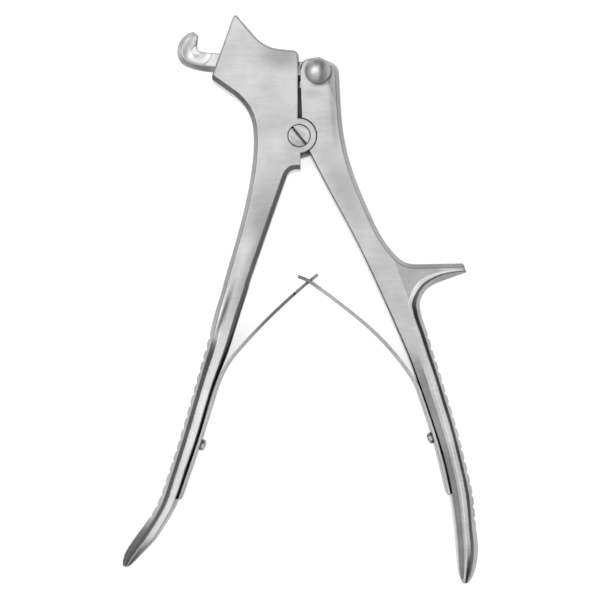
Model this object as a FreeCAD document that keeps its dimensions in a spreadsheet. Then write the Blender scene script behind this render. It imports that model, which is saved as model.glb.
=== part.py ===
import FreeCAD, Part

# Skull punch forceps: a fixed handle with a flat head, and a lever handle that pulls a hook bar through the head.
# The instrument lies on its back. X is to the right and Y towards the head, seen from the front, and Z is up.
# The origin is on the pivot screw's axis, on the plane that the instrument rests on. Lengths are millimetres.

import math
import os

import Sketcher
from FreeCAD import Placement, Rotation, Vector

BODY_SIZES = {
    "BodyThickness": 10.2,
    "SlotWidth": 4.2,
    "SideClearance": 0.1,
    "BevelWidth": 1.6,
    "HeadBevel": 0.6,
    "ForkBevel": 0.5,
}
PIVOT_SIZES = {
    "BossRadius": 6.1,
    "BossGap": 0.3,
    "TongueRadius": 7.6,
    "TongueReach": 6.5,
    "TongueGap": 0.3,
    "ScrewHeadDiameter": 7.8,
    "ScrewHeadHeight": 1.8,
    "ScrewShankDiameter": 5.0,
    "ScrewThreadDiameter": 4.0,
    "ScrewSlotWidth": 0.7,
    "ScrewSlotDepth": 0.8,
    "ScrewSlotAngle": -51.0,
    "ScrewRecess": 0.1,
    "HeadClearance": 0.15,
    "RunningClearance": 0.05,
    "ThreadClearance": 0.02,
}
LINKAGE_SIZES = {
    "PinX": 6.7,
    "PinY": 22.9,
    "ClosingAngle": 26.5,
    "BarSlope": 5.7,
    "BarHeight": 6.5,
    "BarReach": 36.8,
    "EyeRadius": 4.2,
    "PinShaftDiameter": 4.6,
    "DomeDiameter": 9.0,
    "DomeHeight": 3.2,
    "DomeRim": 0.7,
    "ChannelClearance": 0.5,
    "ForkClearance": 0.3,
}
HOOK_SIZES = {
    "HookCentreX": -36.5,
    "HookCentreY": 30.85,
    "HookRadius": 7.3,
    "TipAngle": 88.0,
    "HeelAngle": 192.0,
    "BladeLean": 6.0,
    "ThroatRadius": 2.4,
    "SweepX": -38.2,
    "SweepY": 24.6,
    "HookSweep": 10.5,
    "HookBevel": 1.85,
    "FlankRing": 3.7,
    "FlankRadius": 6.0,
    "FlankDepth": 0.4,
    "ScoopRadius": 1.45,
    "DieDepth": 3.4,
    "DieMargin": 1.2,
}
HEAD_SIZES = {
    "FaceFootX": -31.15,
    "FaceFootY": 20.92,
    "FootX": -30.95,
    "FootY": 19.95,
    "FaceTopX": -23.9,
    "FaceTopY": 41.4,
    "ApexX": -22.9,
    "ApexY": 43.7,
    "ApexRadius": 0.9,
    "HollowX": -12.3,
    "HollowY": 31.4,
    "HollowRadius": 13.0,
    "ShoulderX": -0.25,
    "ShoulderY": 30.25,
    "ShoulderRadius": 2.0,
    "StepX": -0.02,
    "StepY": 25.6,
    "HeadRightX": -0.5,
    "StopX": 0.3,
    "StopTopY": 21.0,
    "StopFootY": 15.0,
    "ChinX": -23.5,
    "ChinY": 14.7,
    "NeckX": -18.6,
    "NeckY": 9.4,
    "WaistX": -16.2,
    "WaistY": -1.0,
    "ShankX": -18.0,
    "ShankY": -18.6,
    "HeelX": 0.5,
    "HeelY": -11.9,
    "CrotchX": -3.56,
    "CrotchRadius": 3.6,
}
LEVER_SIZES = {
    "LeverLeftTopX": 0.4,
    "LeverLeftTopY": 24.1,
    "LeverLeftFootX": 1.0,
    "LeverTopLeftX": 1.2,
    "LeverTopLeftY": 26.9,
    "LeverTopLeftRadius": 3.0,
    "LeverTopX": 7.2,
    "LeverTopY": 28.25,
    "LeverTopRightX": 14.1,
    "LeverTopRightY": 25.1,
    "LeverTopRightRadius": 4.4,
    "LeverSideX": 14.9,
    "LeverSideY": 10.0,
    "LeverHipX": 17.9,
    "LeverHipY": -8.6,
    "LeverThighX": 25.1,
    "LeverThighY": -27.2,
    "LeverEdgeOffset": 0.55,
    "LeverKneeX": 17.6,
    "LeverKneeY": -32.45,
}
REST_SIZES = {
    "RestRootX": 31.2,
    "RestRootY": -38.6,
    "RestBendX": 37.3,
    "RestBendY": -44.7,
    "RestTopX": 44.0,
    "RestTopY": -45.6,
    "RestEndTopX": 58.5,
    "RestEndTopY": -45.3,
    "RestEndX": 59.6,
    "RestEndY": -48.6,
    "RestUnderX": 51.5,
    "RestUnderY": -51.5,
    "RestArchX": 45.2,
    "RestArchY": -55.1,
    "RestThroatX": 43.1,
    "RestThroatY": -60.0,
    "RestEndBevel": 0.8,
}
SPRING_SIZES = {
    "StripThickness": 1.1,
    "StripWidth": 8.6,
    "StripGap": 0.1,
    "CrossingX": 3.7,
    "CrossingY": -52.1,
    "TipOverrun": 4.4,
    "NeckLength": 7.0,
    "NeckWidth": 7.0,
    "TongueWidth": 2.6,
    "ForkSlotWidth": 3.6,
    "HingeGap": 0.05,
    "FootTopY": -91.0,
    "LeftFootEndY": -129.2,
    "RightFootEndY": -127.6,
    "FootNotchY": -112.0,
    "FootNotchDepth": 1.2,
    "FootNotchCheek": 4.0,
    "SpringScrewLeftY": -109.9,
    "SpringScrewRightY": -107.4,
    "SpringHeadDiameter": 4.1,
    "SpringHeadHeight": 1.8,
    "SpringThreadDiameter": 2.2,
    "SpringThreadLength": 4.2,
    "SpringSlotWidth": 0.6,
    "SpringSlotDepth": 0.7,
    "LeftHingeX": -22.2,
    "LeftHingeY": -77.3,
    "LeftBow": 0.95,
    "RightHingeX": 35.0,
    "RightHingeY": -78.7,
    "RightBow": 1.8,
}
SCALLOP_SIZES = {
    "ScallopPitch": 4.2,
    "ScallopRadius": 1.1,
    "ScallopDepth": 0.5,
    "ScallopCount": 17,
    "ScallopTopY": -71.7,
}

# The crown of each grip, from its inner bevel to its outer one. The frame's two facets and the lever's two inner
# ones share the width that is left, and their slopes come in with the rounding. The lever's two outer facets run
# on from the throat of the finger rest, with widths of their own.
CROWN_SIZES = {
    "FrameCrownShare0": 0.58,
    "FrameCrownSlope0": 12.0,
    "FrameCrownShare1": 0.42,
    "FrameCrownSlope1": -30.0,
    "LeverCrownShare0": 0.66,
    "LeverCrownSlope0": 20.0,
    "LeverCrownShare1": 0.34,
    "LeverCrownSlope1": 9.0,
    "BrightFacetThroat": 1.35,
    "BrightFacetGrip": 1.9,
    "BrightFacetSlope": -16.5,
    "DarkFacetThroat": 1.45,
    "DarkFacetGrip": 1.15,
    "DarkFacetSlope": -33.2,
    "OuterFacetSlope": -45.0,
    "CutMargin": 0.6,
}
CROWN_FACETS = {"Frame": 2, "Lever": 2}

# The facets run on round the throat and along the rest's underside. One row for each station: how far it is from
# the grip, where 1 is the end of the curve and 2 the tip of the rest, and the widths of the three facets.
REST_CUT_KEYS = ("Share", "Outer", "Dark", "Bright")
REST_CUTS = (
    (0.0, 1.4, 1.45, 1.35),
    (0.2, 1.45, 1.35, 1.45),
    (0.4, 1.55, 1.0, 1.6),
    (0.6, 1.75, 0.7, 1.6),
    (0.8, 1.95, 0.45, 1.3),
    (1.0, 2.1, 0.3, 0.9),
    (2.0, 0.7, 0.1, 0.3),
    (2.2, 0.6, 0.1, 0.3),
)

# One row for each station down a grip: its height, its inner and outer edges, the widths and drops of the two
# bevels, how far the flat front has turned into the rounded crown, and the grip's depth.
STATION_KEYS = ("Y", "Inner", "Outer", "InnerBevel", "InnerDrop", "OuterBevel", "OuterDrop", "Round", "Depth")
FRAME_STATIONS = (
    (-52.0, -17.57, -26.83, 1.69, 1.6, 1.66, 1.6, 0.0, 10.2),
    (-60.0, -19.94, -29.18, 1.75, 1.65, 1.65, 1.6, 0.4, 10.2),
    (-68.0, -22.49, -31.38, 1.75, 1.65, 1.60, 1.7, 0.7, 10.2),
    (-76.0, -25.05, -33.45, 1.60, 1.55, 1.55, 1.8, 0.9, 10.2),
    (-85.0, -28.60, -36.14, 1.30, 1.30, 1.45, 1.8, 1.0, 10.2),
    (-95.0, -32.15, -38.96, 1.00, 1.05, 1.40, 1.8, 1.0, 10.2),
    (-105.0, -35.00, -41.90, 1.05, 1.10, 1.40, 1.8, 1.0, 10.2),
    (-115.0, -38.30, -45.00, 1.10, 1.15, 1.45, 1.8, 1.0, 10.2),
    (-124.0, -41.20, -48.00, 1.15, 1.20, 1.60, 1.8, 1.0, 10.2),
    (-132.0, -43.95, -51.10, 1.25, 1.25, 1.80, 1.8, 1.0, 10.0),
    (-138.0, -47.30, -54.80, 1.20, 1.2, 2.10, 1.8, 1.0, 9.6),
    (-143.0, -50.50, -58.50, 1.00, 1.0, 2.40, 1.8, 1.0, 9.0),
    (-147.0, -54.00, -61.30, 0.80, 0.8, 2.30, 1.7, 1.0, 8.2),
    (-150.5, -57.30, -62.95, 0.60, 0.7, 1.90, 1.4, 1.0, 7.0),
    (-153.8, -61.00, -63.25, 0.30, 0.4, 0.90, 0.9, 1.0, 5.0),
)
LEVER_STATIONS = (
    (-62.0, 31.72, 43.35, 0.545, 0.5, 1.40, 1.4, 0.0, 10.2),
    (-68.0, 34.40, 45.10, 0.55, 0.5, 1.40, 1.5, 0.15, 10.2),
    (-74.0, 37.05, 47.05, 0.55, 0.55, 1.35, 1.6, 0.35, 10.2),
    (-80.0, 39.55, 48.90, 0.55, 0.6, 1.30, 1.7, 0.6, 10.2),
    (-86.0, 41.80, 50.90, 0.50, 0.7, 1.30, 1.8, 0.8, 10.2),
    (-92.0, 43.90, 52.70, 0.50, 0.7, 1.30, 1.8, 0.95, 10.2),
    (-100.0, 46.60, 55.20, 0.50, 0.8, 1.30, 1.9, 1.0, 10.2),
    (-109.0, 49.60, 57.70, 0.50, 0.8, 1.35, 1.9, 1.0, 10.2),
    (-118.0, 52.10, 59.95, 0.50, 0.8, 1.45, 1.9, 1.0, 10.2),
    (-127.0, 54.00, 62.00, 0.50, 0.8, 1.60, 1.9, 1.0, 10.1),
    (-136.0, 55.40, 63.00, 0.45, 0.8, 1.70, 1.9, 1.0, 9.8),
    (-144.0, 56.20, 63.90, 0.45, 0.7, 1.80, 1.8, 1.0, 9.1),
    (-151.0, 56.80, 63.85, 0.40, 0.6, 1.70, 1.6, 1.0, 8.1),
    (-156.5, 57.30, 62.60, 0.35, 0.5, 1.30, 1.2, 1.0, 6.5),
    (-159.8, 58.60, 60.70, 0.25, 0.3, 0.50, 0.6, 1.0, 4.4),
)

document = FreeCAD.newDocument("SkullPunchForceps")
sheet = document.addObject("Spreadsheet::Sheet", "Sizes")
size = {}


def fill_sheet():
    """Write every size into the sheet with its alias, and read the values back."""
    table = {}
    for group in (BODY_SIZES, PIVOT_SIZES, LINKAGE_SIZES, HOOK_SIZES, HEAD_SIZES, LEVER_SIZES, REST_SIZES,
                  SPRING_SIZES, SCALLOP_SIZES, CROWN_SIZES):
        table.update(group)
    for side, stations in (("Frame", FRAME_STATIONS), ("Lever", LEVER_STATIONS)):
        for number, row in enumerate(stations):
            for key, value in zip(STATION_KEYS, row):
                table[f"{side}Grip{key}At{number}"] = value
    for number, row in enumerate(REST_CUTS):
        for key, value in zip(REST_CUT_KEYS, row):
            table[f"RestCut{key}At{number}"] = value
    for line, (alias, value) in enumerate(table.items(), start=1):
        sheet.set(f"A{line}", alias)
        sheet.set(f"B{line}", str(value))
        sheet.setAlias(f"B{line}", alias)
    document.recompute()
    for alias in table:
        size[alias] = float(getattr(sheet, alias))


def station(side, number):
    """The sizes of one station down a grip, by key."""
    return {key: size[f"{side}Grip{key}At{number}"] for key in STATION_KEYS}


def stations(side):
    rows = FRAME_STATIONS if side == "Frame" else LEVER_STATIONS
    return [station(side, number) for number in range(len(rows))]


# Plane geometry

def point(x, y):
    return Vector(x, y, 0)


def direction(degrees):
    angle = math.radians(degrees)
    return Vector(math.cos(angle), math.sin(angle), 0)


def left_of(vector):
    """The unit vector a quarter turn to the left."""
    return Vector(-vector.y, vector.x, 0).normalize()


def turned(vector, degrees):
    return Rotation(Vector(0, 0, 1), degrees).multVec(vector)


def heading(vector):
    return math.degrees(math.atan2(vector.y, vector.x))


def line(start, end):
    return Part.LineSegment(start, end)


def arc(centre, radius, first, last):
    """An arc that turns to the left from the first angle to the last, in degrees."""
    circle = Part.Circle(centre, Vector(0, 0, 1), radius)
    return Part.ArcOfCircle(circle, math.radians(first), math.radians(last))


def curve(points, start=None, end=None):
    """A smooth curve through points, with the directions at its two ends if they are given."""
    spline = Part.BSplineCurve()
    if start is None:
        spline.interpolate(Points=points)
    else:
        spline.interpolate(Points=points, InitialTangent=start, FinalTangent=end)
    return spline


def crossing(first, first_way, second, second_way):
    """Where two lines meet, each given by a point and a direction."""
    cross = first_way.x * second_way.y - first_way.y * second_way.x
    gap = second - first
    along = (gap.x * second_way.y - gap.y * second_way.x) / cross
    return first + first_way * along


def rounded(corners, radii):
    """Lines through the corners, with an arc of the given radius at each corner between the first and last."""
    pieces = []
    start = corners[0]
    for before, corner, after, radius in zip(corners, corners[1:], corners[2:], radii):
        if not radius:
            pieces.append(line(start, corner))
            start = corner
            continue
        come = (corner - before).normalize()
        leave = (after - corner).normalize()
        turn = come.getAngle(leave)
        cut = radius * math.tan(turn / 2)
        side = 1 if come.cross(leave).z > 0 else -1
        begin = corner - come * cut
        finish = corner + leave * cut
        centre = begin + left_of(come) * radius * side
        middle = centre + (corner - centre).normalize() * radius
        pieces.append(line(start, begin))
        pieces.append(Part.ArcOfCircle(begin, middle, finish))
        start = finish
    pieces.append(line(start, corners[-1]))
    return pieces


# Document helpers

def new_body(name):
    body = document.addObject("PartDesign::Body", name)
    body.Label = name
    return body


def origin_plane(body, role):
    for feature in body.Origin.OriginFeatures:
        if feature.Role == role:
            return feature
    raise ValueError(role)


def new_sketch(body, name, role="XY_Plane", lift=None, offset=None):
    """A sketch on an origin plane, lifted by an expression of the sheet or moved by a placement."""
    sketch = body.newObject("Sketcher::SketchObject", name)
    sketch.AttachmentSupport = (origin_plane(body, role), [""])
    sketch.MapMode = "FlatFace"
    if offset is not None:
        sketch.AttachmentOffset = offset
    if lift is not None:
        sketch.setExpression(".AttachmentOffset.Base.z", lift)
    return sketch


def draw(sketch, pieces):
    sketch.addGeometry(pieces, False)
    return sketch


def polygon(corners):
    return [line(a, b) for a, b in zip(corners, corners[1:] + corners[:1])]


def circle_sketch(body, name, radius, lift="0", centre=None):
    """A circle about a place whose coordinates are expressions of the sheet."""
    sketch = new_sketch(body, name, lift=lift)
    if centre is not None:
        sketch.setExpression(".AttachmentOffset.Base.x", centre[0])
        sketch.setExpression(".AttachmentOffset.Base.y", centre[1])
    sketch.addGeometry(Part.Circle(Vector(0, 0, 0), Vector(0, 0, 1), 1.0), False)
    sketch.addConstraint(Sketcher.Constraint("Coincident", 0, 3, -1, 1))
    sketch.addConstraint(Sketcher.Constraint("Radius", 0, 1.0))
    sketch.setExpression("Constraints[1]", radius)
    return sketch


def settle(feature):
    """Recompute, and stop if the feature failed."""
    document.recompute()
    if "Invalid" in feature.State or feature.Shape.isNull():
        raise ValueError(f"{feature.Name}: {feature.State} {feature.getStatusString()}")
    return feature


def pad(body, sketch, length, midplane=False):
    feature = body.newObject("PartDesign::Pad", sketch.Name + "Pad")
    feature.Profile = sketch
    feature.setExpression("Length", length)
    feature.Midplane = midplane
    return settle(feature)


def pocket(body, sketch, length, midplane=False, upward=False):
    """Cut a sketch out of the body, and make sure that the cut takes something away."""
    before = body.Shape.Volume
    feature = body.newObject("PartDesign::Pocket", sketch.Name + "Pocket")
    feature.Profile = sketch
    feature.setExpression("Length", length)
    feature.Midplane = midplane
    feature.Reversed = upward
    settle(feature)
    if not body.Shape.Volume < before:
        raise ValueError(f"{feature.Name} cuts nothing")
    return feature


def edges_along(shape, pieces, heights):
    """The names of the shape's edges that lie on the drawn pieces at any of the heights."""
    names = []
    drawn = [piece.toShape() for piece in pieces]
    for number, edge in enumerate(shape.Edges, start=1):
        middle = edge.valueAt((edge.FirstParameter + edge.LastParameter) / 2)
        level = any(all(abs(vertex.Z - height) < 0.001 for vertex in edge.Vertexes) for height in heights)
        if not level:
            continue
        foot = Part.Vertex(middle.x, middle.y, 0)
        if any(foot.distToShape(one)[0] < 0.001 for one in drawn):
            names.append(f"Edge{number}")
    return names


def chamfer(body, name, pieces, heights, width):
    """Bevel the edges of the body's last feature that lie on the drawn pieces."""
    base = body.Tip
    names = edges_along(base.Shape, pieces, heights)
    if not names:
        raise ValueError(f"{name} finds no edge")
    feature = body.newObject("PartDesign::Chamfer", name)
    feature.Base = (base, names)
    feature.setExpression("Size", width)
    return settle(feature)


def slanted(place, height, way):
    """The placement, on the XZ plane, of a sketch that faces along a direction in the XY plane."""
    spin = heading(way) + 90
    return Placement(Vector(place.x, height, -place.y), Rotation(Vector(0, 1, 0), spin))


# The linkage, at rest and closed

def linkage():
    """Where the pin and the bar are at rest and when the handles are closed."""
    pin = point(size["PinX"], size["PinY"])
    bar_way = direction(180 - size["BarSlope"])
    guide = pin + bar_way * size["BarReach"]
    closed_pin = turned(pin, -size["ClosingAngle"])
    closed_way = (guide - closed_pin).normalize()
    return {
        "pin": pin,
        "guide": guide,
        "bar_way": bar_way,
        "closed_pin": closed_pin,
        "closed_way": closed_way,
        "swing": heading(closed_way) - heading(bar_way),
    }


def bar_side(start, way, distance):
    """A point on a line beside the bar's axis: above it if the distance is positive."""
    return start - left_of(way) * distance


def hook_tip():
    centre = point(size["HookCentreX"], size["HookCentreY"])
    return centre + direction(size["TipAngle"]) * size["HookRadius"]


def closed_tip():
    links = linkage()
    arm = turned(hook_tip() - links["pin"], links["swing"])
    return links["closed_pin"] + arm


def on_face(height):
    """The point of the head's working face at a height."""
    foot = point(size["FaceFootX"], size["FaceFootY"])
    apex = point(size["FaceTopX"], size["FaceTopY"])
    return foot + (apex - foot) * ((height - foot.y) / (apex.y - foot.y))


# Grips

def grip_edge(side, key):
    """The curve that a grip's inner or outer edge follows."""
    return curve([point(row[key], row["Y"]) for row in stations(side)])


def edge_place(side, key, height):
    """The point of a grip's edge at a height, and the edge's direction there, towards the tip."""
    edge = grip_edge(side, key)
    low, high = edge.FirstParameter, edge.LastParameter
    for _ in range(40):
        middle = (low + high) / 2
        if edge.value(middle).y > height:
            low = middle
        else:
            high = middle
    return edge.value(low), edge.tangent(low)[0]


def outer_facets(row):
    """The widths and slopes of the lever's two outer facets at a station."""
    steps = []
    for name in ("Bright", "Dark"):
        throat = size[f"{name}FacetThroat"]
        grip = size[f"{name}FacetGrip"]
        room = abs(row["Outer"] - row["Inner"]) / abs(size["LeverGripOuterAt6"] - size["LeverGripInnerAt6"])
        width = (throat + (grip - throat) * row["Round"]) * min(1.0, room)
        steps.append((width, math.radians(size[f"{name}FacetSlope"])))
    return steps


def grip_section(row, side):
    """The corners of a grip's section, in X and Z: two bevels and the crown's facets, the same at the back."""
    out = -1 if side == "Frame" else 1
    middle = size["BodyThickness"] / 2
    crown = abs(row["Outer"] - row["Inner"]) - row["InnerBevel"] - row["OuterBevel"]
    fixed = outer_facets(row) if side == "Lever" else []
    crown -= sum(width for width, _ in fixed)
    steps = [(0.0, 0.0), (row["InnerBevel"], row["InnerDrop"])]
    for number in range(CROWN_FACETS[side]):
        width = crown * size[f"{side}CrownShare{number}"]
        slope = math.radians(size[f"{side}CrownSlope{number}"]) * row["Round"]
        steps.append((width, width * math.tan(slope)))
    for width, slope in fixed:
        steps.append((width, width * math.tan(slope)))
    steps.append((row["OuterBevel"], -row["OuterDrop"]))
    across = 0.0
    rise = 0.0
    corners = []
    for step, climb in steps:
        across += step
        rise += climb
        corners.append((across, rise))
    top = max(height for _, height in corners)
    upper = [Vector(row["Inner"] + out * x, row["Depth"] / 2 + z - top, 0) for x, z in corners]
    lower = [Vector(corner.x, -corner.y, 0) for corner in reversed(upper)]
    return [Vector(corner.x, corner.y + middle, 0) for corner in upper + lower]


def add_grip(body, side):
    """Loft the grip through its stations."""
    sketches = []
    for number, row in enumerate(stations(side)):
        sketch = new_sketch(body, f"{side}GripSection{number}", role="XZ_Plane",
                            lift=f"-Sizes.{side}GripYAt{number}")
        sketches.append(draw(sketch, polygon(grip_section(row, side))))
    document.recompute()
    loft = body.newObject("PartDesign::AdditiveLoft", side + "Grip")
    loft.Profile = sketches[0]
    loft.Sections = sketches[1:]
    return settle(loft)


def add_scallops(body, side):
    """Cut the cross grooves along the grip's outer edge."""
    out = -1 if side == "Frame" else 1
    edge = grip_edge(side, "Outer")
    place = size["ScallopTopY"]
    stand_off = size["ScallopRadius"] - size["ScallopDepth"]
    pieces = []
    for _ in range(int(size["ScallopCount"])):
        on_edge, way = edge_place(side, "Outer", place)
        outward = left_of(way) * (-out if side == "Lever" else 1)
        outward = outward if outward.x * out > 0 else outward * -1
        centre = on_edge + outward * stand_off
        pieces.append(Part.Circle(centre, Vector(0, 0, 1), size["ScallopRadius"]))
        place += way.normalize().y * size["ScallopPitch"]
    sketch = draw(new_sketch(body, side + "Scallops"), pieces)
    pocket(body, sketch, "Sizes.BodyThickness", upward=True)


def spring_screw_place(side):
    """Where a spring screw's axis meets the grip's inner edge, and the way from the grip to its head."""
    label = "Left" if side == "Frame" else "Right"
    place, way = edge_place(side, "Inner", size[f"SpringScrew{label}Y"])
    inward = left_of(way)
    inward = inward if inward.x * (1 if side == "Frame" else -1) > 0 else inward * -1
    return place, inward


def add_foot_notch(body):
    """Clear both cheeks of the frame's edge behind the end of the spring's foot, down to a square shoulder."""
    start, _ = edge_place("Frame", "Inner", size["FootNotchY"])
    end, way = edge_place("Frame", "Inner", size["LeftFootEndY"] - size["StripGap"])
    inward = left_of(way)
    inward = inward if inward.x > 0 else inward * -1
    outside = inward * size["StripThickness"]
    corners = [start, end - inward * size["FootNotchDepth"], end + outside, start + outside]
    rear = draw(new_sketch(body, "RearFootNotch"), polygon(corners))
    pocket(body, rear, "Sizes.FootNotchCheek", upward=True)
    front = draw(new_sketch(body, "FrontFootNotch", lift="Sizes.BodyThickness"), polygon(corners))
    pocket(body, front, "Sizes.FootNotchCheek")


def add_spring_screw_hole(body, side):
    """Drill the tapped hole for the spring screw into the grip's inner edge."""
    place, inward = spring_screw_place(side)
    mouth = place + inward * size["StripGap"]
    sketch = new_sketch(body, side + "SpringHole", role="XZ_Plane",
                        offset=slanted(mouth, size["BodyThickness"] / 2, inward))
    radius = size["SpringThreadDiameter"] / 2 + size["ThreadClearance"]
    draw(sketch, [Part.Circle(Vector(0, 0, 0), Vector(0, 0, 1), radius)])
    pocket(body, sketch, "Sizes.SpringThreadLength + 2 * Sizes.StripGap")


# Frame

def frame_outline():
    """The outline of the head and the upper shank, in pieces grouped by how their edges are finished."""
    face_foot = point(size["FaceFootX"], size["FaceFootY"])
    foot = point(size["FootX"], size["FootY"])
    chin = point(size["ChinX"], size["ChinY"])
    first = station("Frame", 0)
    second = station("Frame", 1)
    shank_end = point(first["Outer"], first["Y"])
    shank_way = point(second["Outer"], second["Y"]) - shank_end
    inner_end = point(first["Inner"], first["Y"])
    boss = size["BossRadius"]
    right = size["HeadRightX"]
    heel = size["HeelX"]
    boss_top = point(right, math.sqrt(boss ** 2 - right ** 2))
    boss_foot = point(heel, -math.sqrt(boss ** 2 - heel ** 2))
    head = rounded(
        [
            chin,
            foot,
            face_foot,
            point(size["FaceTopX"], size["FaceTopY"]),
            point(size["ApexX"], size["ApexY"]),
            point(size["HollowX"], size["HollowY"]),
            point(size["ShoulderX"], size["ShoulderY"]),
            point(size["StepX"], size["StepY"]),
            point(right, size["StepY"] + right - size["StepX"]),
            boss_top,
        ],
        [0, 0, 0, size["ApexRadius"], size["HollowRadius"], size["ShoulderRadius"], 0, 0],
    )
    neck = curve(
        [
            shank_end,
            point(size["ShankX"], size["ShankY"]),
            point(size["WaistX"], size["WaistY"]),
            point(size["NeckX"], size["NeckY"]),
            chin,
        ],
        shank_way.normalize() * -1,
        (foot - chin).normalize(),
    )
    boss_arc = arc(point(0, 0), boss, heading(boss_foot), heading(boss_top))
    heel_side = rounded(
        [boss_foot, point(heel, size["HeelY"]), point(size["CrotchX"], size["HeelY"]), inner_end],
        [0, size["CrotchRadius"]],
    )
    return {
        "neck": [neck, head[0]],
        "face": head[1:3],
        "top": head[3:9],
        "right": head[9:],
        "boss": [boss_arc],
        "heel": heel_side[:1],
        "inside": heel_side[1:],
        "end": [line(inner_end, shank_end)],
    }


def add_bar_channel(body):
    """The channel through the head for the bar, wide enough for its swing."""
    links = linkage()
    room = size["BarHeight"] / 2 + size["ChannelClearance"]
    down = Vector(0, -1, 0)
    top = bar_side(links["guide"], links["bar_way"], room)
    floor = bar_side(links["guide"], links["closed_way"], -room)
    left = links["guide"].x - size["BarHeight"]
    right = size["BossRadius"]
    corners = [
        crossing(top, links["bar_way"], point(left, 0), down),
        crossing(floor, links["closed_way"], point(left, 0), down),
        crossing(floor, links["closed_way"], point(right, 0), down),
        crossing(top, links["bar_way"], point(right, 0), down),
    ]
    sketch = draw(new_sketch(body, "BarChannel", lift="Sizes.BodyThickness / 2"), polygon(corners))
    pocket(body, sketch, "Sizes.SlotWidth", midplane=True)


def add_stop(body):
    """The lip of the rear cheek that closes the gap to the lever under the bar, and stops the lever."""
    corners = [point(size["StopX"], size["StopFootY"]), point(size["StopX"], size["StopTopY"]),
               point(2 * size["HeadRightX"], size["StopTopY"]), point(2 * size["HeadRightX"], size["StopFootY"])]
    lip = draw(new_sketch(body, "StopLip"), polygon(corners))
    pad(body, lip, "(Sizes.BodyThickness - Sizes.SlotWidth) / 2")


def add_tongue_slot(body):
    """The slot between the cheeks for the lever's tongue, open to the bar's channel above it."""
    links = linkage()
    disc = circle_sketch(body, "TongueDiscSlot", "Sizes.TongueRadius + Sizes.TongueGap",
                         "Sizes.BodyThickness / 2")
    pocket(body, disc, "Sizes.SlotWidth", midplane=True)
    left = -size["TongueReach"] - size["TongueGap"]
    right = size["BossRadius"] + size["BossGap"]
    top = links["closed_pin"].y
    corners = [point(left, 0), point(right, 0), point(right, top), point(left, top)]
    web = draw(new_sketch(body, "TongueWebSlot", lift="Sizes.BodyThickness / 2"), polygon(corners))
    pocket(body, web, "Sizes.SlotWidth", midplane=True)


def add_die_slot(body):
    """The slot in the working face that the hook's cutting edges enter."""
    links = linkage()
    top = on_face(closed_tip().y + size["DieMargin"])
    foot = on_face(links["guide"].y)
    inward = left_of(foot - top)
    depth = inward * size["DieDepth"]
    proud = inward * -size["DieDepth"]
    corners = [top + proud, foot + proud, foot + depth, top + depth]
    sketch = draw(new_sketch(body, "DieSlot", lift="Sizes.BodyThickness / 2"), polygon(corners))
    pocket(body, sketch, "Sizes.SlotWidth", midplane=True)


def add_pivot_holes(body):
    """The counterbore for the screw's head, the hole for its shank and the tapped hole in the rear cheek."""
    front = "Sizes.BodyThickness"
    seat = circle_sketch(body, "ScrewHeadSeat", "Sizes.ScrewHeadDiameter / 2 + Sizes.HeadClearance", front)
    pocket(body, seat, "Sizes.ScrewHeadHeight + Sizes.ScrewRecess")
    shank = circle_sketch(body, "ScrewShankHole", "Sizes.ScrewShankDiameter / 2 + Sizes.RunningClearance", front)
    pocket(body, shank, "Sizes.BodyThickness / 2")
    thread = circle_sketch(body, "ScrewThreadHole", "Sizes.ScrewThreadDiameter / 2 + Sizes.ThreadClearance", front)
    pocket(body, thread, "Sizes.BodyThickness")


def make_frame():
    body = new_body("frame")
    outline = frame_outline()
    pieces = [piece for group in outline.values() for piece in group]
    plate = draw(new_sketch(body, "FramePlate"), pieces)
    pad(body, plate, "Sizes.BodyThickness")
    faces = (0, size["BodyThickness"])
    chamfer(body, "FrameBevel", outline["neck"] + outline["inside"], faces, "Sizes.BevelWidth")
    chamfer(body, "FrameHeadBevel", outline["top"], faces, "Sizes.HeadBevel")
    add_grip(body, "Frame")
    add_stop(body)
    add_bar_channel(body)
    add_tongue_slot(body)
    add_die_slot(body)
    add_pivot_holes(body)
    add_scallops(body, "Frame")
    add_foot_notch(body)
    add_spring_screw_hole(body, "Frame")
    return body


# Lever

def lever_edge_way():
    """The direction of the lever's inner edge, down from the boss: upright once the handles are closed."""
    return direction(-90 + size["ClosingAngle"] + 0.4)


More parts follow.
